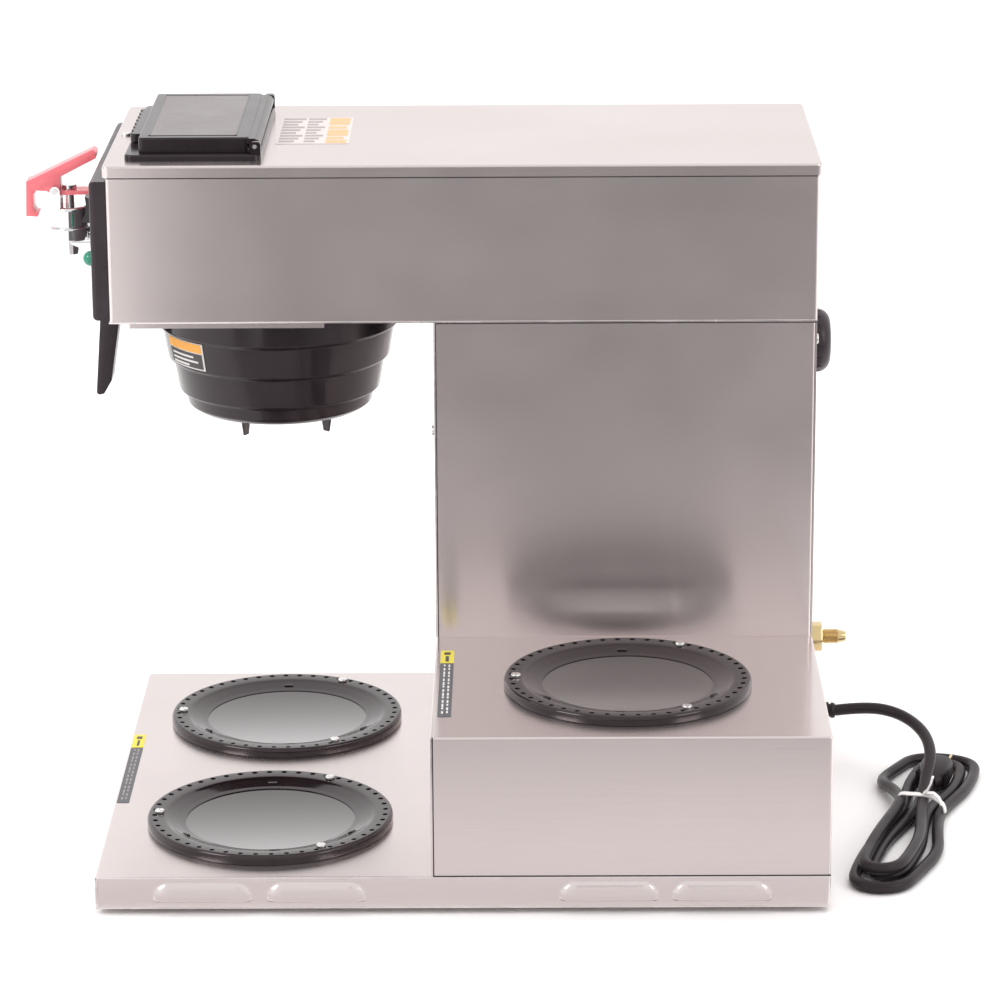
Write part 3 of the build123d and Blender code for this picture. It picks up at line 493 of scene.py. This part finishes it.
# ---------------------------------------------------------------- power cord
CORD_D = 8.0
TIE_AT = (36.0, 327.0)
HANK_HEADING = math.radians(-16.6)
LEAD_ROUTE = [
    (-70.0, 275.9, 41.5),
    (-68.0, 298.0, 45.0),
    (-58.5, 320.0, 43.5),
    (-36.0, 335.0, 38.5),
    (-9.0, 338.5, 31.0),
    (16.0, 331.5, 20.5),
]
RELIEF_TIP_Y = LEAD_ROUTE[0][1]
RELIEF_LENGTH = 22.0


def hank_point(along, across, height):
    """A place in the hank, measured from the tie along and across its length."""
    x = TIE_AT[0] + along * math.cos(HANK_HEADING) - across * math.sin(HANK_HEADING)
    y = TIE_AT[1] + along * math.sin(HANK_HEADING) + across * math.cos(HANK_HEADING)
    return x * MM, y * MM, height * MM


def half_lobe(reach, tip, lobe_z, tie, width, pinch, tie_z):
    """One side of a loop of cord, from where it crosses the tie out to the loop's rounded end."""
    spread = width - tip
    return [
        (0.24 * reach, tie + 0.43 * (width - tie), 0.6 * tie_z + 0.4 * lobe_z),
        (0.48 * reach, width, lobe_z),
        (0.75 * reach, width - pinch * spread, lobe_z),
        (0.94 * reach, tip + (0.84 - pinch) * spread, lobe_z),
    ]


def hank_turns():
    """The hank's five loops in turn, each given by its reach, its end's place and its two sides."""
    low, high = 5.0, 13.2
    floor_z, upper_z = 4.1, 12.5
    last_across = -4.2
    loops = (
        (130.5, -3.5, upper_z, (1.5, 12.5, 0.0, high), (-12.5, -15.8, 0.0, high)),
        (-112.5, -3.0, floor_z, (-12.5, -40.5, 0.2, high), (12.6, 20.8, 0.0, low)),
        (143.0, -3.2, floor_z, (12.6, 26.0, 0.2, low), (-12.6, -20.4, 0.0, low)),
        (-102.0, -3.0, floor_z, (-12.6, -18.5, 0.0, low), (4.2, 11.8, 0.0, low)),
        (121.0, 0.3, floor_z, (4.2, 12.2, 0.0, low), (last_across, -11.7, 0.0, low)),
    )
    points = []
    for reach, tip, lobe_z, out, back in loops:
        points.append((0.0, out[0], out[3]))
        points += half_lobe(reach, tip, lobe_z, *out)
        points.append((reach, tip, lobe_z))
        points += reversed(half_lobe(reach, tip, lobe_z, *back))
    return points + [(0.0, last_across, low)]


def cord_points():
    """The lead's points, then the hank's turns, then the end that runs up into the plug."""
    into_plug = [(-14, -3.8, 6.2), (-26, -3.0, 9.0), (-42, -3.0, 10.5)]
    lead = [tuple(c * MM for c in p) for p in LEAD_ROUTE]
    return lead + [hank_point(*p) for p in hank_turns() + into_plug]


def make_cord():
    points = cord_points()
    curve = bpy.data.curves.new("power_cord_jacket", "CURVE")
    curve.dimensions = "3D"
    spline = curve.splines.new("NURBS")
    spline.points.add(len(points) - 1)
    for target, point in zip(spline.points, points):
        target.co = (*point, 1.0)
    spline.order_u = 3
    spline.use_endpoint_u = True
    spline.resolution_u = 8
    curve.bevel_depth = CORD_D / 2 * MM
    curve.bevel_resolution = 6
    curve.use_fill_caps = True
    curve.materials.append(FINISHES["cord_jacket"])
    cord = bpy.data.objects.new("power_cord_jacket", curve)
    bpy.context.scene.collection.objects.link(cord)
    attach(cord, "housing")
    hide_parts("power_cord", "cord_hank")

    relief = make_relief(points[0])
    tie = make_tie()
    plug = make_plug()


def make_relief(tip):
    """The ribbed, tapered sleeve that the cord leaves the rear panel through."""
    bm = bmesh.new()
    panel_y = (RELIEF_TIP_Y - RELIEF_LENGTH) * MM
    length = RELIEF_LENGTH * MM
    neck, flange, tip_r = 6.9 * MM, 8.0 * MM, 4.3 * MM
    profile = [(0.0, -9 * MM), (neck, -9 * MM), (neck, 0.0), (flange, 0.0), (flange, 2.6 * MM)]
    ribs, rib_pitch, groove = 5, 3.6 * MM, 0.9 * MM
    for k in range(ribs):
        start = 3.2 * MM + k * rib_pitch
        radius = (7.7 - 2.4 * (k + 0.5) / ribs) * MM
        profile += [(radius - groove, start), (radius - groove, start + 1.0 * MM),
                    (radius, start + 1.3 * MM), (radius - 0.1 * MM, start + 3.2 * MM)]
    profile += [(4.9 * MM, length - 0.4 * MM), (tip_r, length), (0.0, length)]
    lathe(bm, profile, (tip[0], panel_y, tip[2]), "Y", 48, closed=False)
    return add_piece("strain_relief_ribbed", bm, "cord_jacket", "housing", None, 50.0, ("strain_relief",))


TIE_HALF_W = 3.0
TIE_THICKNESS = 1.7
TAIL_HALF_W = 2.6
TAIL_HALF_T = 0.5
TIE_MIDDLE = Vector((0.0, 9.0))
TIE_LOOP = [
    (-17.0, 3.4), (-17.3, 9.0), (-17.0, 14.5), (-13.5, 17.6), (-7.0, 18.0), (0.5, 18.3), (6.5, 17.9),
    (12.0, 15.2), (15.8, 12.2), (17.3, 7.2), (16.6, 2.4), (13.0, 0.8), (0.0, 0.6), (-13.0, 0.8),
]
TIE_TAILS = (
    ((2.0, 19.2, 0.0), (4.5, 21.6, -1.4), (6.0, 25.0, -3.0), (7.0, 29.6, -4.4)),
    ((4.0, 19.4, 0.0), (9.0, 20.4, 2.4), (13.0, 18.4, 4.6), (15.5, 14.6, 6.4)),
)


def make_tie():
    """A coated twist tie: a flat loop round the six strands, crossed on top, with two bent tails."""
    bm = bmesh.new()
    steps = 4
    for i in range(len(TIE_LOOP)):
        for k in range(steps):
            p = catmull(TIE_LOOP, i, k / steps)
            q = catmull(TIE_LOOP, i, (k + 1) / steps)
            strip_segment(bm, p, q)
    bmesh.ops.remove_doubles(bm, verts=bm.verts, dist=1e-5)
    for path in TIE_TAILS:
        tail_strip(bm, path)
    return add_piece("cord_twist_tie", bm, "tie_white", "housing", None, 60.0, ("cord_tie",))


def catmull(loop, i, t):
    """A point on the smooth closed curve through the loop's points, a share t past point i."""
    p0, p1, p2, p3 = (Vector(loop[(i + d) % len(loop)]) for d in (-1, 0, 1, 2))
    return 0.5 * (2 * p1 + (p2 - p0) * t + (2 * p0 - 5 * p1 + 4 * p2 - p3) * t * t
                  + (3 * p1 - p0 - 3 * p2 + p3) * t ** 3)


def strip_segment(bm, p, q):
    """One short length of the tie's flat band, with a raised wire rib along its middle."""
    w, t, rib = TIE_HALF_W, TIE_THICKNESS, 0.7
    section = [(-w, 0.0), (-w, t * 0.5), (-rib, t * 0.6), (0.0, t), (rib, t * 0.6), (w, t * 0.5), (w, 0.0)]
    rows = []
    for point in (p, q):
        inward = (TIE_MIDDLE - point).normalized()
        rows.append([bm.verts.new(hank_point(along, *(point + inward * depth)))
                     for along, depth in section])
    skin(bm, rows, capped=False)


def tail_strip(bm, path):
    """A loose tail of the tie, through (across, height, along) points in the hank's frame."""
    w, rib = TAIL_HALF_W, 1.9
    rows = []
    for k, (across, height, along) in enumerate(path):
        ahead = path[min(k + 1, len(path) - 1)]
        behind = path[max(k - 1, 0)]
        run = Vector((ahead[0] - behind[0], ahead[1] - behind[1])).normalized()
        normal = Vector((-run.y, run.x)) * TAIL_HALF_T
        ring = []
        for sideways, out in ((-w, -1), (w, -1), (w, 1), (0, rib), (-w, 1)):
            offset = normal * out
            ring.append(bm.verts.new(hank_point(along + sideways, across + offset.x, height + offset.y)))
        rows.append(ring)
    skin(bm, rows)


PLUG_U, PLUG_V = -59.0, -3.0
PLUG_Z = 10.5
PLUG_HALF_W, PLUG_HALF_H = 11.0, 9.9
BLADE_U = PLUG_U - 24.0
BLADE_HALF_L = 8.6
PLUG_STATIONS = [
    (17.0, 0.46, 0.46), (15.0, 0.56, 0.56), (11.0, 0.70, 0.68), (4.0, 0.90, 0.86), (-4.0, 1.0, 0.98),
    (-13.0, 1.0, 1.0), (-16.4, 0.97, 0.97), (-17.0, 0.90, 0.90),
]


def make_plug():
    """The moulded plug inside the hank's upper lobe, with grip ribs and three blades."""
    bm = bmesh.new()
    sides, squareness = 28, 3.2
    rows = []
    for along, wide, tall in PLUG_STATIONS:
        ring = []
        for k in range(sides):
            angle = 2 * math.pi * k / sides
            c, s = math.cos(angle), math.sin(angle)
            out = (abs(c) ** squareness + abs(s) ** squareness) ** (-1 / squareness)
            ring.append(bm.verts.new(hank_point(PLUG_U + along, PLUG_V + PLUG_HALF_W * wide * c * out,
                                                PLUG_Z + PLUG_HALF_H * tall * s * out)))
        rows.append(ring)
    skin(bm, rows)
    heading = Matrix.Rotation(HANK_HEADING, 4, "Z")
    for k in range(4):
        rib_u = PLUG_U + 8.0 - 4.2 * k
        for side in (-1, 1):
            at = Vector(hank_point(rib_u, PLUG_V + side * 9.9, PLUG_Z))
            half = Vector((0.7, 0.9, 5.6 - 0.2 * k)) * MM
            add_box(bm, at - half, at + half, heading)
    plug = add_piece("power_plug_moulded", bm, "cord_jacket", "housing", None, 40.0, ("power_plug",))
    blades = make_blades(heading)
    blades.parent = plug
    return plug


def make_blades(heading):
    """Two flat blades and a round earth pin, bevelled at their edges."""
    bm = bmesh.new()
    for across in (6.35, -6.35):
        at = Vector(hank_point(BLADE_U, PLUG_V + across, PLUG_Z + 2.0))
        half = Vector((BLADE_HALF_L, 0.75, 3.15)) * MM
        add_box(bm, at - half, at + half, heading)
    round_edges(bm, 0.3 * MM, 2)
    pin = bmesh.new()
    half_l, pin_r = BLADE_HALF_L * MM, 2.3 * MM
    lathe(pin, rounded([(0.0, -half_l), (pin_r, -half_l), (pin_r, half_l), (0.0, half_l)], 1.6 * MM),
          (0, 0, 0), "X", 24)
    pin_at = Vector(hank_point(BLADE_U, PLUG_V, PLUG_Z - 5.5))
    bmesh.ops.transform(pin, matrix=Matrix.Translation(pin_at) @ heading, verts=pin.verts)
    merge(bm, pin)
    return add_piece("power_plug_blades", bm, "brass", "housing", None, 40.0)


# ---------------------------------------------------------------- warmers
WARMERS = {
    "left": (-SIDE_WARMER_X, FRONT_WARMER_Y, DECK_Z),
    "right": (SIDE_WARMER_X, FRONT_WARMER_Y, DECK_Z),
    "raised": (SIDE_WARMER_X, REAR_WARMER_Y, STEP_Z),
}
WARMER_R = 81.5
WARMER_H = 6.6
WELL_R = 62.3
VENTS = 48
VENT_RING = 76.6
VENT_R = 1.8
SCREW_RING = 73.5
SCREW_HOLE_R = 1.7
SCREW_ANGLES = (270.0, 30.0, 150.0)
CLIP_ANGLES = (62.0, 182.0, 302.0)


def make_warmer(name, centre):
    """The enamelled pan: a rolled rim with its ring of vents, and a wall that slopes down to the plate."""
    at = tuple(c * MM for c in centre)
    h, r, well = WARMER_H, WARMER_R, WELL_R
    top = [(r, 0.1), (r, 4.4), (r - 0.6, 5.9), (r - 2.0, h), (71.4, h - 0.5), (69.4, h - 0.8),
           (67.2, h - 1.8), (59.6, 2.4), (56.6, 1.8), (55.8, 1.45)]
    underside = [(well + 0.2, 1.45), (well + 0.2, 0.1), (well + 1.4, 0.1), (66.6, h - 3.9), (69.4, h - 2.2),
                 (r - 2.6, h - 1.4), (r - 1.3, 4.2), (r - 1.3, 0.1)]
    bm = bmesh.new()
    lathe(bm, rounded([(a * MM, b * MM) for a, b in top + underside], 0.8 * MM, 2), at, "Z", 144)
    pan = add_piece(f"warmer_pan_{name}_enamelled", bm, "black_enamel", "housing", None, 50.0,
                    (f"warmer_pan_{name}",))
    cutters = bmesh.new()
    for k in range(VENTS):
        degrees = 360.0 * (k + 0.5) / VENTS
        if all(abs((degrees - screw + 180) % 360 - 180) >= 3.0 for screw in SCREW_ANGLES):
            rim_hole(cutters, at, degrees, VENT_RING, VENT_R, 12, 6.0)
    for degrees in SCREW_ANGLES:
        rim_hole(cutters, at, degrees, SCREW_RING, SCREW_HOLE_R, 16, 8.0)
    carve(pan, cutters)
    make_clips(name, at)


def rim_hole(cutters, at, degrees, ring, radius, segments, depth):
    """A round cutter that stands in the pan's rim."""
    angle = math.radians(degrees)
    spot = Matrix.Translation((at[0] + ring * MM * math.cos(angle), at[1] + ring * MM * math.sin(angle),
                               at[2] + (WARMER_H - 1.0) * MM))
    bmesh.ops.create_cone(cutters, cap_ends=True, segments=segments, radius1=radius * MM,
                          radius2=radius * MM, depth=depth * MM, matrix=spot)


def make_clips(name, at):
    """The small pressed tabs on the pan's sloping wall."""
    bm = bmesh.new()
    for degrees in CLIP_ANGLES:
        turn = Matrix.Rotation(math.radians(degrees), 4, "Z")
        middle = Vector(at) + turn.to_3x3() @ Vector((62.6 * MM, 0, 3.5 * MM))
        half = Vector((1.1, 3.2, 0.7)) * MM
        add_box(bm, middle - half, middle + half, turn)
    round_edges(bm, 0.35 * MM, 2)
    add_piece(f"warmer_clips_{name}", bm, "black_enamel")


def carve(piece, cutters):
    """Cuts the holes into a piece's own mesh and removes the cutters."""
    mesh = bpy.data.meshes.new("cutters")
    cutters.to_mesh(mesh)
    cutters.free()
    tool = bpy.data.objects.new("cutters", mesh)
    bpy.context.scene.collection.objects.link(tool)
    cut = piece.modifiers.new("cut", "BOOLEAN")
    cut.operation = "DIFFERENCE"
    cut.solver = "EXACT"
    cut.object = tool
    bpy.context.view_layer.update()
    result = bpy.data.meshes.new_from_object(piece.evaluated_get(bpy.context.evaluated_depsgraph_get()))
    piece.modifiers.clear()
    piece.data = result
    bpy.data.objects.remove(tool)
    result.set_sharp_from_angle(angle=math.radians(40))


def make_plate(name, centre):
    """The decanter plate at the bottom of a well, with a faint stepped ring."""
    bm = bmesh.new()
    r = WELL_R - 0.2
    outline = [(0.0, 0.1), (r, 0.1), (r, 0.9), (r - 0.6, 1.4), (r - 5.0, 1.4), (r - 5.8, 1.15), (0.0, 1.2)]
    lathe(bm, [(a * MM, b * MM) for a, b in outline], tuple(c * MM for c in centre), "Z", 128, closed=False)
    add_piece(f"warmer_plate_{name}_enamelled", bm, "black_enamel", "housing", PLATE_ENAMEL, 50.0,
              (f"warmer_plate_{name}",))


# ---------------------------------------------------------------- brew funnel
FUNNEL_AT = (-SIDE_WARMER_X * MM, FRONT_WARMER_Y * MM, 0.0)
RING_R0, RING_Z0 = 76.4, 294.6
RING_R1, RING_Z1 = 80.4, 317.0
FUNNEL_FEET = 5
FIRST_FOOT_ANGLE = -27.0


def make_funnel():
    """The moulded bowl in three stepped rings, with a spout hole and small feet underneath."""
    outside = [(83.5, 339.0), (83.5, 318.2), (RING_R1, RING_Z1), (RING_R0, RING_Z0), (73.0, 293.4),
               (69.4, 272.0),
               (65.6, 270.8), (63.6, 262.0), (58.5, 258.4), (44.0, 257.2), (9.0, 255.2), (9.0, 250.2),
               (4.0, 250.2)]
    inside = [(4.0, 257.6), (44.0, 259.6), (57.2, 261.0), (61.4, 263.8), (63.5, 272.8), (67.2, 274.0),
              (70.9, 295.4), (74.2, 296.6), (78.3, 319.0), (81.3, 320.2), (81.3, 341.8), (92.0, 341.8),
              (92.0, 339.0)]
    bm = bmesh.new()
    outline = rounded([(r * MM, z * MM) for r, z in outside + inside], 1.3 * MM, 3)
    lathe(bm, outline, FUNNEL_AT, "Z", 160)
    for k in range(FUNNEL_FEET):
        degrees = FIRST_FOOT_ANGLE + k * 360.0 / FUNNEL_FEET
        turn = Matrix.Rotation(math.radians(degrees), 4, "Z")
        middle = Vector(FUNNEL_AT) + turn.to_3x3() @ Vector((47.2 * MM, 0, 253.2 * MM))
        half = Vector((4.6, 1.2, 6.0)) * MM
        verts = add_box(bm, middle - half, middle + half, turn)
        for vert in verts:
            if vert.co.z < middle.z:
                vert.co = vert.co + (middle - vert.co) * Vector((0.45, 0.45, 0.0))
    add_piece("funnel_moulded", bm, "black_gloss_plastic", "funnel", None, 40.0, ("funnel",))
    make_funnel_label()


def arc_patch(bm, radius_low, radius_high, z_low, z_high, start, end, lift, steps=18):
    """A thin curved patch lying on the funnel's conical ring between two angles in degrees."""
    rows = []
    for depth in (0.0, lift):
        for z, radius in ((z_low, radius_low), (z_high, radius_high)):
            row = []
            for k in range(steps + 1):
                angle = math.radians(start + (end - start) * k / steps)
                r = (radius + depth) * MM
                out = Vector((r * math.cos(angle), r * math.sin(angle), z * MM))
                row.append(bm.verts.new(Vector(FUNNEL_AT) + out))
            rows.append(row)
    low, high, low_out, high_out = rows
    for k in range(steps):
        bm.faces.new((low_out[k], low_out[k + 1], high_out[k + 1], high_out[k]))
        bm.faces.new((low[k], high[k], high[k + 1], low[k + 1]))
        bm.faces.new((low[k], low[k + 1], low_out[k + 1], low_out[k]))
        bm.faces.new((high[k], high_out[k], high_out[k + 1], high[k + 1]))
    bm.faces.new((low[0], low_out[0], high_out[0], high[0]))
    bm.faces.new((low[-1], high[-1], high_out[-1], low_out[-1]))


def ring_radius(z):
    """The outer radius of the funnel's second ring, a cone, at a height in millimetres."""
    return RING_R0 + (z - RING_Z0) * (RING_R1 - RING_R0) / (RING_Z1 - RING_Z0)


def make_funnel_label():
    """A plain plate on the funnel's front right: white frame, amber band, dark lower half with bars."""
    plates = (
        ("frame", "tie_white", PAPER_FRAME, -66.0, -37.0, 297.0, 316.4, 0.1, 0.5),
        ("band", "red_plastic", PAPER_AMBER, -65.0, -38.0, 309.4, 315.7, 0.5, 0.4),
        ("lower", "black_enamel", PAPER_BLACK, -65.0, -38.0, 297.9, 308.6, 0.5, 0.4),
    )
    for part, slot, finish, start, end, z_low, z_high, off, lift in plates:
        bm = bmesh.new()
        arc_patch(bm, ring_radius(z_low) + off, ring_radius(z_high) + off, z_low, z_high, start, end, lift)
        add_piece(f"funnel_label_{part}", bm, slot, "funnel", finish)
    bm = bmesh.new()
    for z, start, end in ((305.8, -62.0, -44.0), (302.6, -62.0, -41.0), (299.6, -62.0, -48.0)):
        arc_patch(bm, ring_radius(z) + 0.85, ring_radius(z) + 0.95, z - 0.7, z + 0.7, start, end, 0.25, 8)
    add_piece("funnel_label_bars", bm, "tie_white", "funnel", PAPER_FRAME)


# ---------------------------------------------------------------- labels on the sheet metal
def flat_label(name, finish, slot, x0, x1, y0, y1, z):
    """A thin sticker with rounded corners on a level surface."""
    bm = bmesh.new()
    add_box(bm, (x0 * MM, y0 * MM, z * MM), (x1 * MM, y1 * MM, (z + LABEL_LIFT) * MM))
    edges = [e for e in bm.edges if abs(e.verts[0].co.z - e.verts[1].co.z) > 0.1 * MM]
    bmesh.ops.bevel(bm, geom=edges, offset=0.8 * MM, segments=3, profile=0.5, affect="EDGES")
    add_piece(name, bm, slot, "housing", finish)


def flat_bars(name, finish, slot, bars, z):
    """Thin raised bars, each from x0 to x1 and y0 to y1, on a level surface."""
    lift = 0.12
    bm = bmesh.new()
    for x0, x1, y0, y1 in bars:
        add_box(bm, (x0 * MM, y0 * MM, z * MM), (x1 * MM, y1 * MM, (z + lift) * MM))
    add_piece(name, bm, slot, "housing", finish)


LABEL_LIFT = 0.25
COVER_LABEL = (-159.0, -69.0, -109.3, -59.5)
EDGE_LABELS = (("base", -68.5, 66.8, -217.0, -208.6, DECK_Z), ("step", 29.6, 163.0, 1.6, 10.6, STEP_Z))


def make_labels():
    """Plain blocks and bars where the brewer carries printed labels."""
    make_cover_label()
    for name, x0, x1, y0, y1, z in EDGE_LABELS:
        make_edge_label(name, x0, x1, y0, y1, z)


def make_cover_label():
    cover_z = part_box("top_cover")[1][2] / MM
    flat_label("cover_label", PAPER_CLEAR, "tie_white", *COVER_LABEL, cover_z)
    columns, pitch, bar = 9, 9.6, 5.4
    bars = []
    for k in range(columns):
        x0 = COVER_LABEL[0] + 2.5 + k * pitch
        for y0, y1 in ((-107.5, -92.0), (-90.5, -78.0)):
            bars.append((x0, x0 + bar, y0, y1 - 2.5 * (k % 3)))
    flat_bars("cover_label_bars", PAPER_GREY, "bezel_plastic", bars, cover_z + LABEL_LIFT)
    blocks = [(-157, -133, -75.5, -61.5), (-128, -120, -75.5, -63), (-116, -96, -75.5, -61.5),
              (-92, -84, -75.5, -64), (-81, -71, -75.5, -61.5)]
    flat_bars("cover_label_blocks", PAPER_ORANGE, "red_plastic", blocks, cover_z + LABEL_LIFT)


def make_edge_label(name, x0, x1, y0, y1, z):
    """A strip along a top edge: a yellow head with a sign, then a dark run with two rows of short bars."""
    split = x0 + 0.2 * (x1 - x0)
    flat_label(f"{name}_edge_label", PAPER_DARK, "bezel_plastic", split, x1, y0, y1, z)
    flat_label(f"{name}_edge_caution", PAPER_YELLOW, "red_plastic", x0, split - 1, y0, y1, z)
    words = 14
    run = (x1 - split - 6) / words
    marks = []
    for k in range(words):
        start = split + 3 + k * run
        marks.append((start, start + run * (0.45 + 0.2 * (k % 3)), y0 + 2.4, y0 + 3.6))
        marks.append((start, start + run * (0.7 - 0.2 * (k % 2)), y1 - 3.4, y1 - 2.2))
    paper = PAPER_GREY if name == "base" else PAPER_FRAME
    flat_bars(f"{name}_edge_bars", paper, "tie_white", marks, z + LABEL_LIFT)
    sign = [(x0 + 4, x0 + 9, y0 + 2.4, y1 - 2.4), (x0 + 12, x0 + 23, y0 + 3.4, y1 - 3.4)]
    flat_bars(f"{name}_edge_sign", PAPER_BLACK, "black_enamel", sign, z + LABEL_LIFT)


# ---------------------------------------------------------------- sheet-metal seams and louvers
LOUVER_LENGTH = 62.3
LOUVER_Z0 = 9.5
LOUVER_H = 12.0
LOUVER_STARTS = (-180.4, -107.3, 80.7, 153.2)


def make_base():
    """The base shell with its four louvers pressed out as soft-ended hoods."""
    bm = copy_node("base_housing")
    square_ends = [v for v in bm.verts if v.co.x > (SIDE_X + 0.05) * MM]
    bmesh.ops.delete(bm, geom=square_ends, context="VERTS")
    for start in LOUVER_STARTS:
        louver_hood(bm, start)
    add_piece("base_housing_pressed", bm, "stainless", "housing", None, 50.0, ("base_housing",))


def louver_hood(bm, start):
    """A swelling that rises from flat at its top and its ends to an open lower lip."""
    margin, depth, end_run, top_run = 0.6, 3.0, 10.0, 10.0
    columns, rows = 44, 14
    grid = []
    for i in range(rows + 1):
        height = (LOUVER_H + margin) * i / rows
        toward_top = max(0.0, 1.0 - (LOUVER_H - height) / top_run)
        row = []
        for k in range(columns + 1):
            along = -margin + (LOUVER_LENGTH + 2 * margin) * k / columns
            to_end = min(along, LOUVER_LENGTH - along)
            toward_end = max(0.0, 1.0 - to_end / end_run)
            swell = math.sqrt(max(0.0, 1.0 - toward_end ** 2 - toward_top ** 2))
            row.append(bm.verts.new(((SIDE_X + 0.06 + depth * swell) * MM, (start + along) * MM,
                                     (LOUVER_Z0 + height) * MM)))
        grid.append(row)
    for below, above in zip(grid, grid[1:]):
        for k in range(columns):
            bm.faces.new((below[k], below[k + 1], above[k + 1], above[k]))
    inner = [bm.verts.new(((SIDE_X - 0.2) * MM, v.co.y, v.co.z)) for v in grid[0]]
    for k in range(columns):
        bm.faces.new((grid[0][k + 1], grid[0][k], inner[k], inner[k + 1]))


HEM = 1.3
JOINT = 0.7
SUNK = 0.3


def edge_strips(spans, proud):
    """Narrow upright strips, each (x, y0, y1, z0, z1), standing proud of the face at x."""
    bm = bmesh.new()
    for x, y0, y1, z0, z1 in spans:
        add_box(bm, ((x - SUNK) * MM, y0 * MM, z0 * MM), ((x + proud) * MM, y1 * MM, z1 * MM))
    return bm


def make_seams():
    """The folded hems that catch the light, the dark joints between the sheets, and a dark strip under the
    cover's lip that is painted shadow.
    """
    hems = edge_strips((
        (SIDE_X, FRONT_Y, REAR_Y, DECK_Z - 1.4, DECK_Z),
        (SIDE_X, FRONT_Y, REAR_Y, FOOT_H, FOOT_H + 1.0),
        (SIDE_X, FRONT_Y, FRONT_Y + 1.2, FOOT_H, DECK_Z),
        (SIDE_X, TRUNK_Y, TRUNK_Y + HEM, DECK_Z, STEP_Z),
        (0.0, FRONT_Y, REAR_Y, HEAD_Z, HEAD_Z + HEM),
        (0.0, TRUNK_Y, TRUNK_Y + HEM, STEP_Z, HEAD_Z),
    ), 0.35)
    round_edges(hems, 0.3 * MM, 3)
    add_piece("folded_hems", hems, "stainless", "housing", HEM_STEEL)
    joints = edge_strips((
        (SIDE_X, TRUNK_Y + HEM, REAR_Y, DECK_Z, DECK_Z + 0.9),
        (SIDE_X, TRUNK_Y + HEM, TRUNK_Y + HEM + JOINT, DECK_Z + 0.9, STEP_Z),
        (0.0, TRUNK_Y + HEM, REAR_Y, HEAD_Z - 0.9, HEAD_Z),
        (0.0, TRUNK_Y + HEM, TRUNK_Y + HEM + JOINT, STEP_Z, HEAD_Z - 0.9),
        # Painted shadow: a dark strip under the cover's lip, where the lip's shade falls.
        (0.0, FRONT_Y + 1, REAR_Y - 1, LIP_Z - 1.1, LIP_Z),
    ), 0.12)
    add_piece("sheet_joints_and_lip_shadow", joints, "black_rubber", "housing", SHADOW_GAP)


# ---------------------------------------------------------------- lid border and inlet
def make_lid_border():
    """The thin raised line that frames the lid's top, and the satin panel inside it, whose lighter pinkish
    grey is a painted reflection of the bright studio on the black lid.
    """
    low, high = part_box("pour_in_lid")
    top = high[2]
    x0, x1 = low[0] + 7 * MM, high[0] - 7 * MM
    y0, y1 = -191.0 * MM, -132.0 * MM
    w, t = 1.1 * MM, 0.35 * MM
    bm = bmesh.new()
    for a, b in (((x0, y0), (x1, y0 + w)), ((x0, y1 - w), (x1, y1)), ((x0, y0), (x0 + w, y1)),
                 ((x1 - w, y0), (x1, y1))):
        add_box(bm, (a[0], a[1], top - t), (b[0], b[1], top + 0.25 * MM))
    add_piece("pour_in_lid_border", bm, "black_gloss_plastic", "lid")
    bm = bmesh.new()
    add_box(bm, (x0 + w, y0 + w, top - t), (x1 - w, y1 - w, top + 0.06 * MM))
    # The panel's lighter colour is a painted reflection on the lid's top.
    add_piece("pour_in_lid_panel", bm, "black_gloss_plastic", "lid", LID_TOP_SHEEN)


def make_inlet():
    """The brass flare fitting: a chamfered hexagon, a threaded nose and a bore."""
    low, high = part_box("inlet_fitting")
    at_x = (low[0] + high[0]) / 2
    at_z = (low[2] + high[2]) / 2
    panel_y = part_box("rear_panel")[1][1]
    bm = bmesh.new()
    bore, shank, flange, hub = 2.4, 6.2, 9.0, 6.0
    pitch, ridges, root, crest = 1.27, 8, 4.75, 5.5
    profile = [(bore, -11.0), (shank, -11.0), (shank, 0.0), (flange, 0.0), (flange, 1.0), (hub, 1.0),
               (hub, 13.9), (4.6, 14.2), (4.6, 15.2)]
    for k in range(ridges):
        start = 15.4 + k * pitch
        profile += [(root, start), (crest, start + 0.45), (crest, start + 0.7), (root, start + 1.15)]
    profile += [(4.7, 26.0), (3.4, 30.6), (bore, 30.9)]
    lathe(bm, [(r * MM, y * MM) for r, y in profile], (at_x, panel_y, at_z), "Y", 56)
    hexagon = bmesh.new()
    bmesh.ops.create_cone(hexagon, cap_ends=True, segments=6, radius1=10.9 * MM, radius2=10.9 * MM,
                          depth=12.9 * MM)
    bmesh.ops.bevel(hexagon, geom=[e for e in hexagon.edges], offset=0.8 * MM, segments=2, profile=0.5,
                    affect="EDGES")
    turn = Matrix.Rotation(math.pi / 2, 4, "X") @ Matrix.Rotation(math.pi / 6, 4, "Z")
    place = Matrix.Translation((at_x, panel_y + 7.5 * MM, at_z)) @ turn
    bmesh.ops.transform(hexagon, matrix=place, verts=hexagon.verts)
    merge(bm, hexagon)
    add_piece("inlet_fitting_threaded", bm, "brass", "housing", None, 40.0, ("inlet_fitting",))


def finish_nodes():
    """Gives every CAD node that still shows the material of its slot."""
    for name, node in NODES.items():
        node.data.materials.clear()
        node.data.materials.append(FINISHES[SLOT_OF[name]])


make_camera()
make_world()
make_studio()
finish_nodes()
make_cord()
for warmer_name, warmer_centre in WARMERS.items():
    make_warmer(warmer_name, warmer_centre)
    make_plate(warmer_name, warmer_centre)
make_funnel()
make_labels()
make_lid_border()
make_inlet()
make_base()
make_seams()
for softened, edge_width in (("faucet_handle", 0.9), ("funnel_handle", 1.3)):
    soften_node(softened, edge_width * MM)
